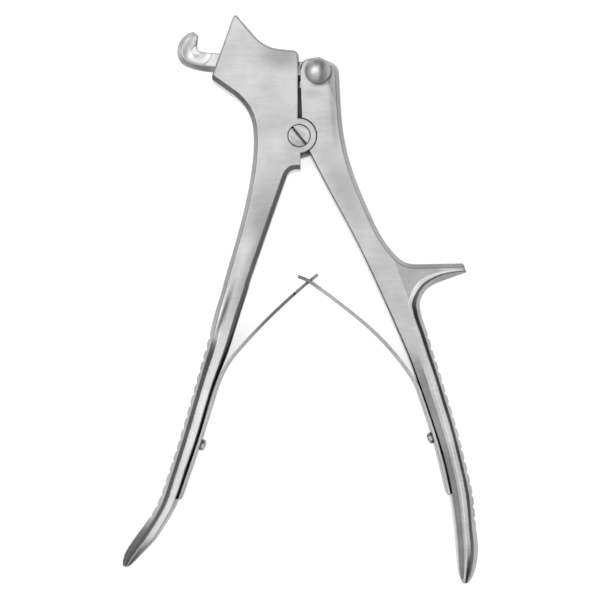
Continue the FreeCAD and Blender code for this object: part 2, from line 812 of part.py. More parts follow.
def lever_outline():
    """The outline of the lever down to its grip, without the tongue."""
    gap_radius = size["BossRadius"] + size["BossGap"]
    left_foot_x = size["LeverLeftFootX"]
    arc_top = point(left_foot_x, math.sqrt(gap_radius ** 2 - left_foot_x ** 2))
    way = lever_edge_way()
    foot = left_of(way) * -1 * -size["LeverEdgeOffset"]
    along = math.sqrt(gap_radius ** 2 - size["LeverEdgeOffset"] ** 2)
    arc_foot = foot + way * along
    heel_end = foot + way * (abs(size["HeelY"]) + size["BossRadius"])
    first = station("Lever", 0)
    second = station("Lever", 1)
    inner_end = point(first["Inner"], first["Y"])
    inner_way = point(second["Inner"], second["Y"]) - inner_end
    outer_end = point(first["Outer"], first["Y"])
    outer_way = point(second["Outer"], second["Y"]) - outer_end
    top = rounded(
        [
            arc_top,
            point(size["LeverLeftTopX"], size["LeverLeftTopY"]),
            point(size["LeverTopLeftX"], size["LeverTopLeftY"]),
            point(size["LeverTopX"], size["LeverTopY"]),
            point(size["LeverTopRightX"], size["LeverTopRightY"]),
            point(size["LeverSideX"], size["LeverSideY"]),
        ],
        [0, size["LeverTopLeftRadius"], 0, size["LeverTopRightRadius"]],
    )
    side = point(size["LeverSideX"], size["LeverSideY"])
    side_way = side - point(size["LeverTopRightX"], size["LeverTopRightY"])
    rest_bend = point(size["RestBendX"], size["RestBendY"])
    rest_top = point(size["RestTopX"], size["RestTopY"])
    rest_end_top = point(size["RestEndTopX"], size["RestEndTopY"])
    rest_end = point(size["RestEndX"], size["RestEndY"])
    rest_under = point(size["RestUnderX"], size["RestUnderY"])
    back = curve(
        [
            side,
            point(size["LeverHipX"], size["LeverHipY"]),
            point(size["LeverThighX"], size["LeverThighY"]),
            point(size["RestRootX"], size["RestRootY"]),
            rest_bend,
            rest_top,
        ],
        side_way.normalize(),
        (rest_end_top - rest_top).normalize(),
    )
    rest = rounded([rest_top, rest_end_top, rest_end, rest_under], [0, 0])
    under = curve(
        [
            rest_under,
            point(size["RestArchX"], size["RestArchY"]),
            point(size["RestThroatX"], size["RestThroatY"]),
            outer_end,
        ],
        (rest_under - rest_end).normalize(),
        outer_way.normalize(),
    )
    inner = curve(
        [inner_end, point(size["LeverKneeX"], size["LeverKneeY"]), heel_end],
        inner_way.normalize() * -1,
        way * -1,
    )
    boss_arc = arc(point(0, 0), gap_radius, heading(arc_foot), heading(arc_top))
    return {
        "left": top[:1],
        "crest": top[1:4],
        "top": top[4:],
        "back": [back],
        "rest": rest,
        "under": [under],
        "end": [line(outer_end, inner_end)],
        "inner": [inner, line(heel_end, arc_foot)],
        "boss": [boss_arc],
    }


def rest_way(share):
    """A place on the lever's outline between the grip and the rest's tip, and the way on from it."""
    under = lever_outline()["under"][0]
    tip = point(size["RestEndX"], size["RestEndY"])
    root = point(size["RestUnderX"], size["RestUnderY"])
    if share > 1:
        return root + (tip - root) * (share - 1), (tip - root).normalize()
    place = under.LastParameter + (under.FirstParameter - under.LastParameter) * share
    if share == 0:
        return under.value(place), direction(90)
    return under.value(place), under.tangent(place)[0].normalize() * -1


def rest_section(number, face):
    """The corners of what is cut away over the three facets at a station, on the front or the back."""
    outer = size[f"RestCutOuterAt{number}"]
    dark = size[f"RestCutDarkAt{number}"]
    bright = size[f"RestCutBrightAt{number}"]
    margin = size["CutMargin"]
    rates = [math.tan(math.radians(-size[name])) for name in
             ("BrightFacetSlope", "DarkFacetSlope", "OuterFacetSlope")]
    crest = outer + dark + bright
    knee = bright * rates[0]
    brink = knee + dark * rates[1]
    foot = brink + (outer + margin) * rates[2]
    corners = [(-margin, -foot), (outer, -brink), (outer + dark, -knee), (crest + margin / rates[0], margin),
               (-margin, margin)]
    return polygon([Vector(across, height * face, 0) for across, height in corners])


def add_rest_facets(body):
    """Cut the grip's outer facets on round the throat and along the underside of the finger rest."""
    for name, face, height in (("Front", 1, size["BodyThickness"]), ("Back", -1, 0)):
        sketches = []
        for number in range(len(REST_CUTS)):
            place, way = rest_way(size[f"RestCutShareAt{number}"])
            sketch = new_sketch(body, f"Rest{name}Section{number}", role="XZ_Plane",
                                offset=slanted(place, height, way))
            sketches.append(draw(sketch, rest_section(number, face)))
        document.recompute()
        before = body.Shape.Volume
        loft = body.newObject("PartDesign::SubtractiveLoft", f"Rest{name}Facets")
        loft.Profile = sketches[0]
        loft.Sections = sketches[1:]
        settle(loft)
        if not body.Shape.Volume < before:
            raise ValueError(f"{loft.Name} cuts nothing")


def fork_floor():
    """A point and a direction on the line below the bar, in the lever, when the handles are closed."""
    links = linkage()
    way = turned(links["closed_way"], size["ClosingAngle"])
    room = size["BarHeight"] / 2 + size["ForkClearance"]
    return bar_side(links["pin"], way, -room), way


def add_tongue(body):
    """The tongue between the frame's cheeks: a disc about the pivot and a web up to the fork's floor."""
    thickness = "Sizes.SlotWidth - 2 * Sizes.SideClearance"
    disc = circle_sketch(body, "TongueDisc", "Sizes.TongueRadius", "Sizes.BodyThickness / 2")
    pad(body, disc, thickness, midplane=True)
    floor, way = fork_floor()
    down = Vector(0, -1, 0)
    left = point(-size["TongueReach"], 0)
    right = point(size["PinX"] + size["EyeRadius"], 0)
    corners = [left, right, crossing(floor, way, right, down), crossing(floor, way, left, down)]
    web = draw(new_sketch(body, "TongueWeb", lift="Sizes.BodyThickness / 2"), polygon(corners))
    pad(body, web, thickness, midplane=True)


def add_fork(body):
    """The slot at the top of the lever for the bar's eye, open to the left and the top."""
    links = linkage()
    eye = circle_sketch(body, "ForkEye", "Sizes.EyeRadius + Sizes.ForkClearance", "Sizes.BodyThickness / 2",
                        ("Sizes.PinX", "Sizes.PinY"))
    pocket(body, eye, "Sizes.SlotWidth", midplane=True)
    floor, way = fork_floor()
    pin = links["pin"]
    left = -size["TongueReach"] - 2 * size["TongueGap"]
    right = pin.x + size["EyeRadius"] + size["ForkClearance"]
    top = size["LeverTopY"] + size["EyeRadius"]
    corners = [
        crossing(floor, way, point(left, 0), Vector(0, -1, 0)),
        floor,
        pin,
        point(right, pin.y),
        point(right, top),
        point(left, top),
    ]
    mouth = draw(new_sketch(body, "ForkMouth", lift="Sizes.BodyThickness / 2"), polygon(corners))
    pocket(body, mouth, "Sizes.SlotWidth", midplane=True)


def make_lever():
    body = new_body("lever")
    outline = lever_outline()
    pieces = [piece for group in outline.values() for piece in group]
    plate = draw(new_sketch(body, "LeverPlate"), pieces)
    pad(body, plate, "Sizes.BodyThickness")
    faces = (0, size["BodyThickness"])
    chamfer(body, "LeverBevel", outline["top"] + outline["back"] + outline["rest"][:1], faces,
            "Sizes.BevelWidth")
    chamfer(body, "LeverCrestBevel", outline["crest"], faces, "Sizes.ForkBevel")
    chamfer(body, "RestEndBevel", outline["rest"][1:2], faces, "Sizes.RestEndBevel")
    chamfer(body, "LeverInnerBevel", outline["inner"][:1], faces, "Sizes.ForkBevel")
    add_rest_facets(body)
    add_grip(body, "Lever")
    add_tongue(body)
    add_fork(body)
    hole = circle_sketch(body, "PivotHole", "Sizes.ScrewShankDiameter / 2 + Sizes.RunningClearance",
                         "Sizes.BodyThickness")
    pocket(body, hole, "Sizes.BodyThickness")
    pin_hole = circle_sketch(body, "PinHole", "Sizes.PinShaftDiameter / 2 + Sizes.ThreadClearance",
                             "Sizes.BodyThickness", ("Sizes.PinX", "Sizes.PinY"))
    pocket(body, pin_hole, "Sizes.BodyThickness")
    add_scallops(body, "Lever")
    add_spring_screw_hole(body, "Lever")
    return body


# Hook bar

def hook_outline():
    """The outline of the bar with its hook and its eye, at rest."""
    links = linkage()
    pin = links["pin"]
    way = links["bar_way"]
    half = size["BarHeight"] / 2
    eye = size["EyeRadius"]
    neck = math.sqrt(eye ** 2 - half ** 2)
    top_start = bar_side(pin + way * neck, way, half)
    foot_start = bar_side(pin + way * neck, way, -half)
    centre = point(size["HookCentreX"], size["HookCentreY"])
    tip = hook_tip()
    blade_way = direction(-90 - size["BladeLean"])
    throat = crossing(top_start, way, tip, blade_way)
    inside = rounded([top_start, throat, tip], [size["ThroatRadius"]])
    back = arc(centre, size["HookRadius"], size["TipAngle"], size["HeelAngle"])
    heel = centre + direction(size["HeelAngle"]) * size["HookRadius"]
    sweep_end = foot_start + way * ((heel - foot_start).dot(way) - size["HookSweep"])
    sweep = curve([heel, point(size["SweepX"], size["SweepY"]), sweep_end], direction(size["HeelAngle"] + 90),
                  way * -1)
    underside = line(sweep_end, foot_start)
    eye_arc = arc(pin, eye, heading(foot_start - pin), heading(top_start - pin))
    return {"inside": inside, "back": [back, sweep, underside], "eye": [eye_arc]}


def add_scoop(body, outline):
    """Hollow the hook's inner face, so that it cuts with its two edges."""
    path = new_sketch(body, "ScoopPath", lift="Sizes.BodyThickness / 2")
    draw(path, outline["inside"][1:])
    tip = hook_tip()
    profile = new_sketch(body, "ScoopProfile", role="XZ_Plane",
                         offset=slanted(tip, size["BodyThickness"] / 2, direction(90 - size["BladeLean"])))
    draw(profile, [Part.Circle(Vector(0, 0, 0), Vector(0, 0, 1), size["ScoopRadius"])])
    document.recompute()
    before = body.Shape.Volume
    scoop = body.newObject("PartDesign::SubtractivePipe", "Scoop")
    scoop.Profile = profile
    scoop.Spine = path
    settle(scoop)
    if not body.Shape.Volume < before:
        raise ValueError("the scoop cuts nothing")


def add_flanks(body):
    """Hollow the hook's two flanks with a ring shaped groove about the hook's centre."""
    centre = point(size["HookCentreX"], size["HookCentreY"])
    half = (size["SlotWidth"] - 2 * size["SideClearance"]) / 2
    rise = half + size["FlankRadius"] - size["FlankDepth"]
    sketch = new_sketch(body, "Flanks", role="XZ_Plane",
                        offset=slanted(centre, size["BodyThickness"] / 2, direction(-90)))
    reach = math.degrees(math.acos(1 - 1.5 * size["FlankDepth"] / size["FlankRadius"]))
    for height, low in ((rise, -90), (-rise, 90)):
        bow = arc(Vector(size["FlankRing"], height, 0), size["FlankRadius"], low - reach, low + reach)
        draw(sketch, [bow, line(bow.EndPoint, bow.StartPoint)])
    before = body.Shape.Volume
    groove = body.newObject("PartDesign::Groove", "FlankGroove")
    groove.Profile = sketch
    groove.ReferenceAxis = (sketch, ["V_Axis"])
    groove.Angle = 360
    settle(groove)
    if not body.Shape.Volume < before:
        raise ValueError("the flank groove cuts nothing")


def make_hook_bar():
    body = new_body("hook_bar")
    outline = hook_outline()
    pieces = [piece for group in outline.values() for piece in group]
    middle = "Sizes.BodyThickness / 2"
    thickness = size["SlotWidth"] - 2 * size["SideClearance"]
    plate = draw(new_sketch(body, "HookPlate", lift=middle), pieces)
    pad(body, plate, "Sizes.SlotWidth - 2 * Sizes.SideClearance", midplane=True)
    centre = size["BodyThickness"] / 2
    chamfer(body, "HookBevel", outline["back"], (centre - thickness / 2, centre + thickness / 2),
            "Sizes.HookBevel")
    add_flanks(body)
    add_scoop(body, outline)
    hole = circle_sketch(body, "EyeHole", "Sizes.PinShaftDiameter / 2 + Sizes.RunningClearance",
                         "Sizes.BodyThickness", ("Sizes.PinX", "Sizes.PinY"))
    pocket(body, hole, "Sizes.BodyThickness")
    return body


# Pins and screws

def turned_body(name, profile, slot_width=None, slot_depth=None, slot_angle=0.0, top=0.0, reach=0.0):
    """A piece turned about Z from its profile in X and Z, with a driver slot across its top."""
    body = new_body(name)
    sketch = draw(new_sketch(body, name + "Profile", role="XZ_Plane"), profile)
    revolution = body.newObject("PartDesign::Revolution", name + "Turned")
    revolution.Profile = sketch
    revolution.ReferenceAxis = (sketch, ["V_Axis"])
    revolution.Angle = 360
    settle(revolution)
    if slot_width:
        along = direction(slot_angle)
        across = left_of(along)
        long_half = along * reach
        short_half = across * (slot_width / 2)
        corners = [long_half + short_half, short_half - long_half, long_half * -1 - short_half,
                   long_half - short_half]
        slot = new_sketch(body, name + "Slot", offset=Placement(Vector(0, 0, top), Rotation()))
        draw(slot, polygon(corners))
        before = body.Shape.Volume
        cut = body.newObject("PartDesign::Pocket", name + "SlotPocket")
        cut.Profile = slot
        cut.Length = slot_depth
        settle(cut)
        if not body.Shape.Volume < before:
            raise ValueError(f"{name} has no slot")
    return body


def profile_of(corners):
    return polygon([Vector(x, z, 0) for x, z in corners])


def make_pivot_screw():
    top = size["BodyThickness"] - size["ScrewRecess"]
    seat = top - size["ScrewHeadHeight"]
    cheek = (size["BodyThickness"] - size["SlotWidth"]) / 2
    head = size["ScrewHeadDiameter"] / 2
    shank = size["ScrewShankDiameter"] / 2
    thread = size["ScrewThreadDiameter"] / 2
    edge = size["ScrewRecess"]
    corners = [(0, edge), (thread, edge), (thread, cheek), (shank, cheek), (shank, seat), (head, seat),
               (head, top - edge), (head - edge, top), (0, top)]
    return turned_body("pivot_screw", profile_of(corners), size["ScrewSlotWidth"], size["ScrewSlotDepth"],
                       size["ScrewSlotAngle"], top, size["ScrewHeadDiameter"])


def make_hook_pin():
    face = size["BodyThickness"]
    shaft = size["PinShaftDiameter"] / 2
    radius = size["DomeDiameter"] / 2
    rim = face + size["DomeRim"]
    top = face + size["DomeHeight"]
    rise = top - rim
    ball = (radius ** 2 + rise ** 2) / (2 * rise)
    centre = Vector(0, top - ball, 0)
    edge_angle = math.degrees(math.atan2(rim - centre.y, radius))
    corners = [Vector(0, top, 0), Vector(0, 0, 0), Vector(shaft, 0, 0), Vector(shaft, face, 0),
               Vector(radius, face, 0), Vector(radius, rim, 0)]
    profile = [line(a, b) for a, b in zip(corners, corners[1:])]
    profile.append(arc(centre, ball, edge_angle, 90))
    body = turned_body("hook_pin", profile)
    body.setExpression(".Placement.Base.x", "Sizes.PinX")
    body.setExpression(".Placement.Base.y", "Sizes.PinY")
    return body


def make_spring_screw(name, side):
    """A spring screw, turned about Z and laid across the grip with its head on the strip."""
    place, inward = spring_screw_place(side)
    seat = place + inward * (2 * size["StripGap"] + size["StripThickness"])
    head = size["SpringHeadDiameter"] / 2
    height = size["SpringHeadHeight"]
    thread = size["SpringThreadDiameter"] / 2
    length = size["SpringThreadLength"]
    round_off = height / 3
    corners = [(0, -length), (thread, -length), (thread, 0), (head, 0), (head, height - round_off),
               (head - round_off, height), (0, height)]
    body = turned_body(name, profile_of(corners), size["SpringSlotWidth"], size["SpringSlotDepth"], 60.0,
                       height, size["SpringHeadDiameter"])
    lay = Rotation(Vector(0, 0, 1), inward)
    body.Placement = Placement(Vector(seat.x, seat.y, size["BodyThickness"] / 2), lay)
    return body


# Springs

def blade_path(side):
    """The arc of a spring's blade from its hinge to its tip, and its directions at both ends."""
    label = "Left" if side == "Frame" else "Right"
    hinge = point(size[f"{label}HingeX"], size[f"{label}HingeY"])
    cross = point(size["CrossingX"], size["CrossingY"])
    chord = cross - hinge
    half = chord.Length / 2
    bow = size[f"{label}Bow"]
    radius = (half ** 2 + bow ** 2) / (2 * bow)
    bulge = left_of(chord)
    bulge = bulge if bulge.y > 0 else bulge * -1
    centre = hinge + chord * 0.5 + bulge * (bow - radius)
    first = heading(hinge - centre)
    last = heading(cross - centre)
    overrun = math.degrees(size["TipOverrun"] / radius)
    turn_left = 1 if side == "Lever" else -1
    tip_angle = last + turn_left * overrun
    if turn_left > 0:
        path = arc(centre, radius, first, tip_angle)
    else:
        path = arc(centre, radius, tip_angle, first)
    start_way = left_of(hinge - centre) * turn_left
    return {"hinge": hinge, "cross": cross, "path": path, "start_way": start_way, "chord": chord}


def foot_path(side):
    """The line of a spring's foot, down the grip's inner edge from its hinge."""
    blade = blade_path(side)
    inset = size["StripGap"] + size["StripThickness"] / 2
    label = "Left" if side == "Frame" else "Right"
    top = size["FootTopY"]
    end = size[f"{label}FootEndY"]
    places = []
    for share in (0, 0.25, 0.5, 0.75, 1):
        place, way = edge_place(side, "Inner", top + (end - top) * share)
        inward = left_of(way)
        inward = inward if inward.x * (1 if side == "Frame" else -1) > 0 else inward * -1
        places.append(place + inward * inset)
    start = blade["hinge"] - blade["start_way"] * (size["StripThickness"] / 2 + size["HingeGap"])
    lie_way = (places[1] - places[0]).normalize()
    bend = curve([start, places[0]], blade["start_way"] * -1, lie_way)
    lie = curve(places, lie_way, (places[4] - places[3]).normalize())
    return [bend, lie], start, blade["start_way"] * -1


def strip_along(body, name, pieces, start, way):
    """Sweep the strip's section along its path."""
    path = new_sketch(body, name + "Path", lift="Sizes.BodyThickness / 2")
    draw(path, pieces)
    profile = new_sketch(body, name + "Section", role="XZ_Plane",
                         offset=slanted(start, size["BodyThickness"] / 2, way))
    thin = size["StripThickness"] / 2
    wide = size["StripWidth"] / 2
    draw(profile, polygon([Vector(-thin, -wide, 0), Vector(thin, -wide, 0), Vector(thin, wide, 0),
                           Vector(-thin, wide, 0)]))
    document.recompute()
    pipe = body.newObject("PartDesign::AdditivePipe", name + "Strip")
    pipe.Profile = profile
    pipe.Spine = path
    settle(pipe)


def make_spring_foot(name, side):
    body = new_body(name)
    pieces, start, way = foot_path(side)
    strip_along(body, name, pieces, start, way)
    place, inward = spring_screw_place(side)
    mouth = place + inward * (size["StripThickness"] + 4 * size["StripGap"])
    sketch = new_sketch(body, name + "Hole", role="XZ_Plane",
                        offset=slanted(mouth, size["BodyThickness"] / 2, inward))
    radius = size["SpringThreadDiameter"] / 2 + size["RunningClearance"]
    draw(sketch, [Part.Circle(Vector(0, 0, 0), Vector(0, 0, 1), radius)])
    pocket(body, sketch, "2 * Sizes.StripThickness + 8 * Sizes.StripGap")
    return body


def blade_plan(side, forked):
    """The blade's outline seen square to its chord: it tapers, then ends in a tongue or a fork."""
    blade = blade_path(side)
    reach = blade["chord"].Length
    neck = reach - size["NeckLength"]
    end = reach + 2 * size["TipOverrun"]
    wide = size["StripWidth"] / 2
    waist = size["NeckWidth"] / 2
    start = -size["StripThickness"]
    tongue = size["TongueWidth"] / 2
    slot = size["ForkSlotWidth"] / 2
    if forked:
        half = [(start, wide), (0, wide), (neck, waist), (end, waist), (end, slot), (neck, slot)]
        return half
    return [(start, wide), (0, wide), (neck - size["NeckLength"] / 2, waist), (neck, tongue), (end, tongue)]


def make_spring_blade(name, side, forked):
    body = new_body(name)
    blade = blade_path(side)
    strip_along(body, name, [blade["path"]], blade["hinge"], blade["start_way"])
    root = circle_sketch(body, name + "Root", "Sizes.StripThickness / 2", "Sizes.BodyThickness / 2",
                         ("Sizes.LeftHingeX", "Sizes.LeftHingeY") if side == "Frame"
                         else ("Sizes.RightHingeX", "Sizes.RightHingeY"))
    pad(body, root, "Sizes.StripWidth", midplane=True)
    along = blade["chord"]
    facing = left_of(along)
    facing = facing if facing.y > 0 else facing * -1
    place = blade["hinge"] + facing * size["StripWidth"]
    offset = slanted(place, size["BodyThickness"] / 2, facing)
    sketch = new_sketch(body, name + "Plan", role="XZ_Plane", offset=offset)
    half = blade_plan(side, forked)
    flip = -1 if side == "Frame" else 1
    upper = [Vector(flip * u, w, 0) for u, w in half]
    lower = [Vector(flip * u, -w, 0) for u, w in reversed(half)]
    margin = size["StripWidth"]
    far = max(u for u, _ in half) + margin
    near = min(u for u, _ in half) - margin
    frame_corners = [Vector(flip * near, margin, 0), Vector(flip * far, margin, 0),
                     Vector(flip * far, -margin, 0), Vector(flip * near, -margin, 0)]
    draw(sketch, polygon(upper + lower) + polygon(frame_corners))
    pocket(body, sketch, "3 * Sizes.StripWidth")
    return body


def check_document():
    """Stop if any feature failed or any piece has no sound solid."""
    for item in document.Objects:
        if "Invalid" in item.State or "Error" in item.State:
            raise ValueError(f"{item.Name}: {item.State}")
    for item in document.Objects:
        if item.TypeId == "PartDesign::Body":
            if item.Shape.isNull() or not item.Shape.isValid() or not item.Shape.Solids:
                raise ValueError(f"{item.Label} has no sound solid")
            if len(item.Shape.Solids) != 1:
                raise ValueError(f"{item.Label} has {len(item.Shape.Solids)} solids")


def main():
    fill_sheet()
    parts = [
        make_frame(),
        make_lever(),
        make_hook_bar(),
        make_pivot_screw(),
        make_hook_pin(),
        make_spring_foot("left_spring_foot", "Frame"),
        make_spring_blade("left_spring_blade", "Frame", False),
        make_spring_foot("right_spring_foot", "Lever"),
        make_spring_blade("right_spring_blade", "Lever", True),
        make_spring_screw("left_spring_screw", "Frame"),
        make_spring_screw("right_spring_screw", "Lever"),
    ]
    document.recompute()
    check_document()
    os.makedirs("parts", exist_ok=True)
    for part in parts:
        part.Shape.exportStep(f"parts/{part.Label}.step")
        print(part.Label, round(part.Shape.Volume, 1))


main()
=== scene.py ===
# Looks for a skull punch forceps: brushed and polished steel, leaf springs in one piece, a pale table and
# its light. The frame is the CAD's own: the instrument lies on its back, Z is up and +Y runs to the head.
# Lengths are metres where no other unit is named.

import math

import bmesh
import bpy
from bpy.props import FloatProperty, FloatVectorProperty, IntProperty, PointerProperty
from mathutils import Matrix, Vector


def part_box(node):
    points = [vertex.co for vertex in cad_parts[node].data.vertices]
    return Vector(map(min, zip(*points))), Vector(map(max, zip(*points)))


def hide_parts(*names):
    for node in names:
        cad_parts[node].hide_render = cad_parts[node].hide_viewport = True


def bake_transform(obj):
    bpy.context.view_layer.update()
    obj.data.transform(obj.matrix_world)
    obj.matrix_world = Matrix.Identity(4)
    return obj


bl_info = {
    "name": "Skull Punch Forceps",
    "version": (1, 0, 0),
    "blender": (4, 5, 0),
    "location": "View3D > Sidebar > Forceps",
    "description": "Finishes the steel, builds the leaf springs and lights the table",
    "category": "Object",
}

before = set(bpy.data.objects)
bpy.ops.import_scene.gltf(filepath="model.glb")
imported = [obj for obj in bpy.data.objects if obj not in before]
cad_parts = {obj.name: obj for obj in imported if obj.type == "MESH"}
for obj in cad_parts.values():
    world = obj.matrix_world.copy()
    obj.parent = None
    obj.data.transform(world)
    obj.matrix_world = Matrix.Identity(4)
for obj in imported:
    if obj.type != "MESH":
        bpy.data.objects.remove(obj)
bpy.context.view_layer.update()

MM = 0.001
MICRON = 0.000001
MID_HEIGHT = sum(corner[2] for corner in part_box("hook_bar")) / 2

# Each spring as it lies, in mm and degrees: its foot's end, its heading there, and then each stretch's
# length and its turn to the left
LEFT_STRIP = {
    "end": (-42.47, -129.25),
    "heading": 71.2,
    "stretches": (
        (14.1, -0.3), (14.0, 2.0), (12.0, -0.4), (6.4, -7.3), (9.15, -15.9), (29.5, -7.8), (11.4, -3.0),
    ),
}
RIGHT_STRIP = {
    "end": (53.46, -127.70),
    "heading": 104.1,
    "stretches": (
        (8.5, -1.4), (10.0, 3.2), (10.0, 3.1), (9.2, -0.4), (6.0, 15.0), (8.6, 5.2), (20.0, 12.0),
        (20.4, 3.6), (6.2, 19.5),
    ),
}

# A point this near to a stretch's end or to a strip's edge still counts as on it
NEAR = 0.00001

# Where a strip's faces meet at more than this, in degrees, their edge is sharp
SHARP_ANGLE = 30

# The grinding's lines, in two sizes: how far each noise is scaled along the lines and across them, its
# detail, and its share
BRUSH_ROWS = (
    (0.035, 1.0, 2.0, 0.6),
    (0.06, 0.4, 1.0, 0.4),
)
LINE_STRENGTH = 0.35
MARK_SCALE = 60.0

# The part of a noise's values that is stretched over the whole range
NOISE_RANGE = (0.32, 0.68)

# The lines' share in the steel's tone, beside the marks, and how much that tone adds to the roughness
TONE_SHARE = 0.5
TONE_ROUGHNESS = 0.12

# How upright a face's normal is where the face starts to count as level, and where it fully does
LEVEL_RANGE = (0.955, 0.992)

# Painted shade in crevices: how near their walls are, the openness where the shade is darkest and where it
# ends, and what is left of the colour in it
CREVICE_REACH = 0.003
CREVICE_RANGE = (0.3, 0.85)
CREVICE_SHADE = 0.12

# The room that the steel mirrors: degrees from straight up, towards the window's side, and brightness
WINDOW_WAY = -35
ROOM_BANDS = (
    (-180, 0.36),
    (-95, 0.36),
    (-76, 0.34),
    (-65, 0.26),
    (-54, 0.06),
    (-44, 0.3),
    (-33, 1.5),
    (-26, 1.2),
    (-18, 0.7),
    (-8, 0.54),
    (8, 0.57),
    (15, 2.2),
    (33, 2.2),
    (42, 0.1),
    (62, 0.02),
    (74, 0.36),
    (84, 0.38),
    (180, 0.36),
)

# How bright that room stays towards its two ends, from one end's direction to the other's
ROOM_ENDS = (
    (-1.0, 0.75),
    (-0.3, 1.0),
    (0.25, 1.0),
    (0.95, 0.32),
)

# Ovals of painted shade and painted highlight on the steel: middle, half length and half width in mm,
# turn in degrees, and the share of the light that is lost, below nothing where the oval is painted brighter.
# The loss is whole over the core, which is this share of the oval's size.
PATCH_CORE = 0.15

# Painted shade, painted shadows and painted highlights on the level faces of the frame and the lever: shade
# at the head's upper right, shadows under and beside the pin's dome, and shade and highlights along the
# shanks and the lever
FLAT_PATCHES = (
    (-6.5, 28.5, 12.0, 7.5, -12, 0.34),
    (4.4, 14.8, 5.0, 2.6, 0, 0.16),
    (7.6, 18.4, 4.6, 1.3, 8, 0.55),
    (11.0, 21.0, 3.8, 1.1, 74, 0.4),
    (12.0, 9.2, 18.0, 1.7, 94.4, 0.2),
    (-15.6, -46.0, 27.0, 4.4, 71.5, 0.36),
    (-22.4, -48.5, 26.0, 3.0, 72.5, -0.14),
    (-18.0, 12.0, 12.0, 14.0, 0, -0.05),
    (16.0, -19.0, 18.0, 7.0, 115, 0.24),
    (-13.2, -24.6, 17.0, 8.0, 75, 0.27),
    (-10.4, -5.1, 9.0, 9.0, 0, -0.12),
    (53.6, -47.0, 4.8, 1.9, 5, -0.4),
)
# Painted shade on all faces of the frame and the lever: a dark stripe along the left handle's outer facet
EDGE_PATCHES = (
    (-26.9, -63.2, 15.0, 1.5, 71.5, 0.85),
)
# Painted reflection on the pin's dome: shade at its right and top, highlights at its left and its right rim
DOME_PATCHES = (
    (7.9, 22.4, 4.4, 1.6, 84, 0.6),
    (4.3, 22.6, 4.0, 2.2, 90, -0.3),
    (9.9, 23.0, 3.2, 1.1, 95, -0.6),
    (6.7, 26.5, 4.2, 1.1, 0, 0.15),
)
# Painted shade and painted highlights on the hook and its bar, and a painted highlight on the bar where it
# shows between the head and the lever
HOOK_PATCHES = (
    (-39.8, 31.8, 5.6, 2.3, 64, 0.4),
    (-42.5, 30.4, 3.6, 1.3, 100, -0.4),
    (-39.6, 35.8, 3.2, 1.0, 45, -0.4),
    (-36.5, 25.6, 8.5, 1.6, -20, 0.3),
    (-0.1, 23.9, 6.0, 2.0, 90, -0.9),
)
# Painted shade on the left spring's blade and the right one's end
SPRING_PATCHES = (
    (-7.0, -59.5, 32.0, 9.0, 42, 0.68),
)

# Painted shade on the finger rest's level face, as on a facet tilted apart from the handle's, in mm and
# degrees: a point of the border, the border's direction and softness, where it fades out down the grip, and
# the share of light that is left
REST_BORDER = (36.1, -51.2)
REST_BORDER_TURN = -69.5
REST_BORDER_SOFT = 0.4
REST_FADE = (-72.0, -63.0)
REST_SHADE = 0.74

# Each lamp's name, place, the point it looks at, its width and height, and the setting that holds its power
LAMPS = (
    ("key_lamp", (-0.3, 0.25, 0.75), (0, -0.05, 0), (0.5, 0.6), "key_power"),
    ("side_lamp", (0.45, -0.25, 0.7), (0, -0.05, 0), (0.2, 0.6), "side_power"),
    ("left_lamp", (-0.58, 0.0, 0.72), (-0.04, -0.05, 0), (0.22, 0.5), "left_power"),
)

# The place on the table that the camera is over, and the width of its sensor in mm
CAMERA_OVER = (0.0003, -0.0584)
SENSOR_WIDTH = 36.0

# Sockets of a mix node by number, since its names repeat: the factor, then the two values and their mix, and
# the two colours and theirs
MIX_FACTOR = 0
MIX_VALUES = (2, 3)
MIX_VALUE_OUT = 0
MIX_COLOURS = (6, 7)
MIX_COLOUR_OUT = 2


class SteelProperties(bpy.types.PropertyGroup):
    """Colours and textures of the steel."""

    satin_colour: FloatVectorProperty(
        name="Satin steel", description="Colour of the ground and brushed frame and lever",
        subtype="COLOR", size=3, min=0, max=1, default=(0.48, 0.48, 0.485))
    polished_colour: FloatVectorProperty(
        name="Polished steel", description="Colour of the hook bar, the pin and the screws",
        subtype="COLOR", size=3, min=0, max=1, default=(0.53, 0.53, 0.535))
    spring_colour: FloatVectorProperty(
        name="Spring steel", description="Colour of the two leaf springs",
        subtype="COLOR", size=3, min=0, max=1, default=(0.42, 0.42, 0.425))
    satin_roughness: FloatProperty(
        name="Satin roughness", description="Roughness of the flat faces",
        subtype="FACTOR", min=0, max=1, default=0.42)
    # Painted shade: bevels and grips get this share of the level faces' colour
    bevel_shade: FloatProperty(
        name="Bevel shade", description="Share of the flat faces' colour that bevels and grips have",
        subtype="FACTOR", min=0, max=1, default=0.78)
    bevel_roughness: FloatProperty(
        name="Bevel roughness", description="Roughness of the bevels and the rounded grips",
        subtype="FACTOR", min=0, max=1, default=0.14)
    polished_roughness: FloatProperty(
        name="Polished roughness", description="Roughness of the hook bar",
        subtype="FACTOR", min=0, max=1, default=0.34)
    edge_round: FloatProperty(
        name="Edge rounding", description="Radius of the broken edges",
        subtype="DISTANCE", unit="LENGTH", min=0, default=0.0007)
    brush_pitch: FloatProperty(
        name="Brush lines", description="Brush lines in a metre, across their length",
        min=100, max=20000, default=2600)


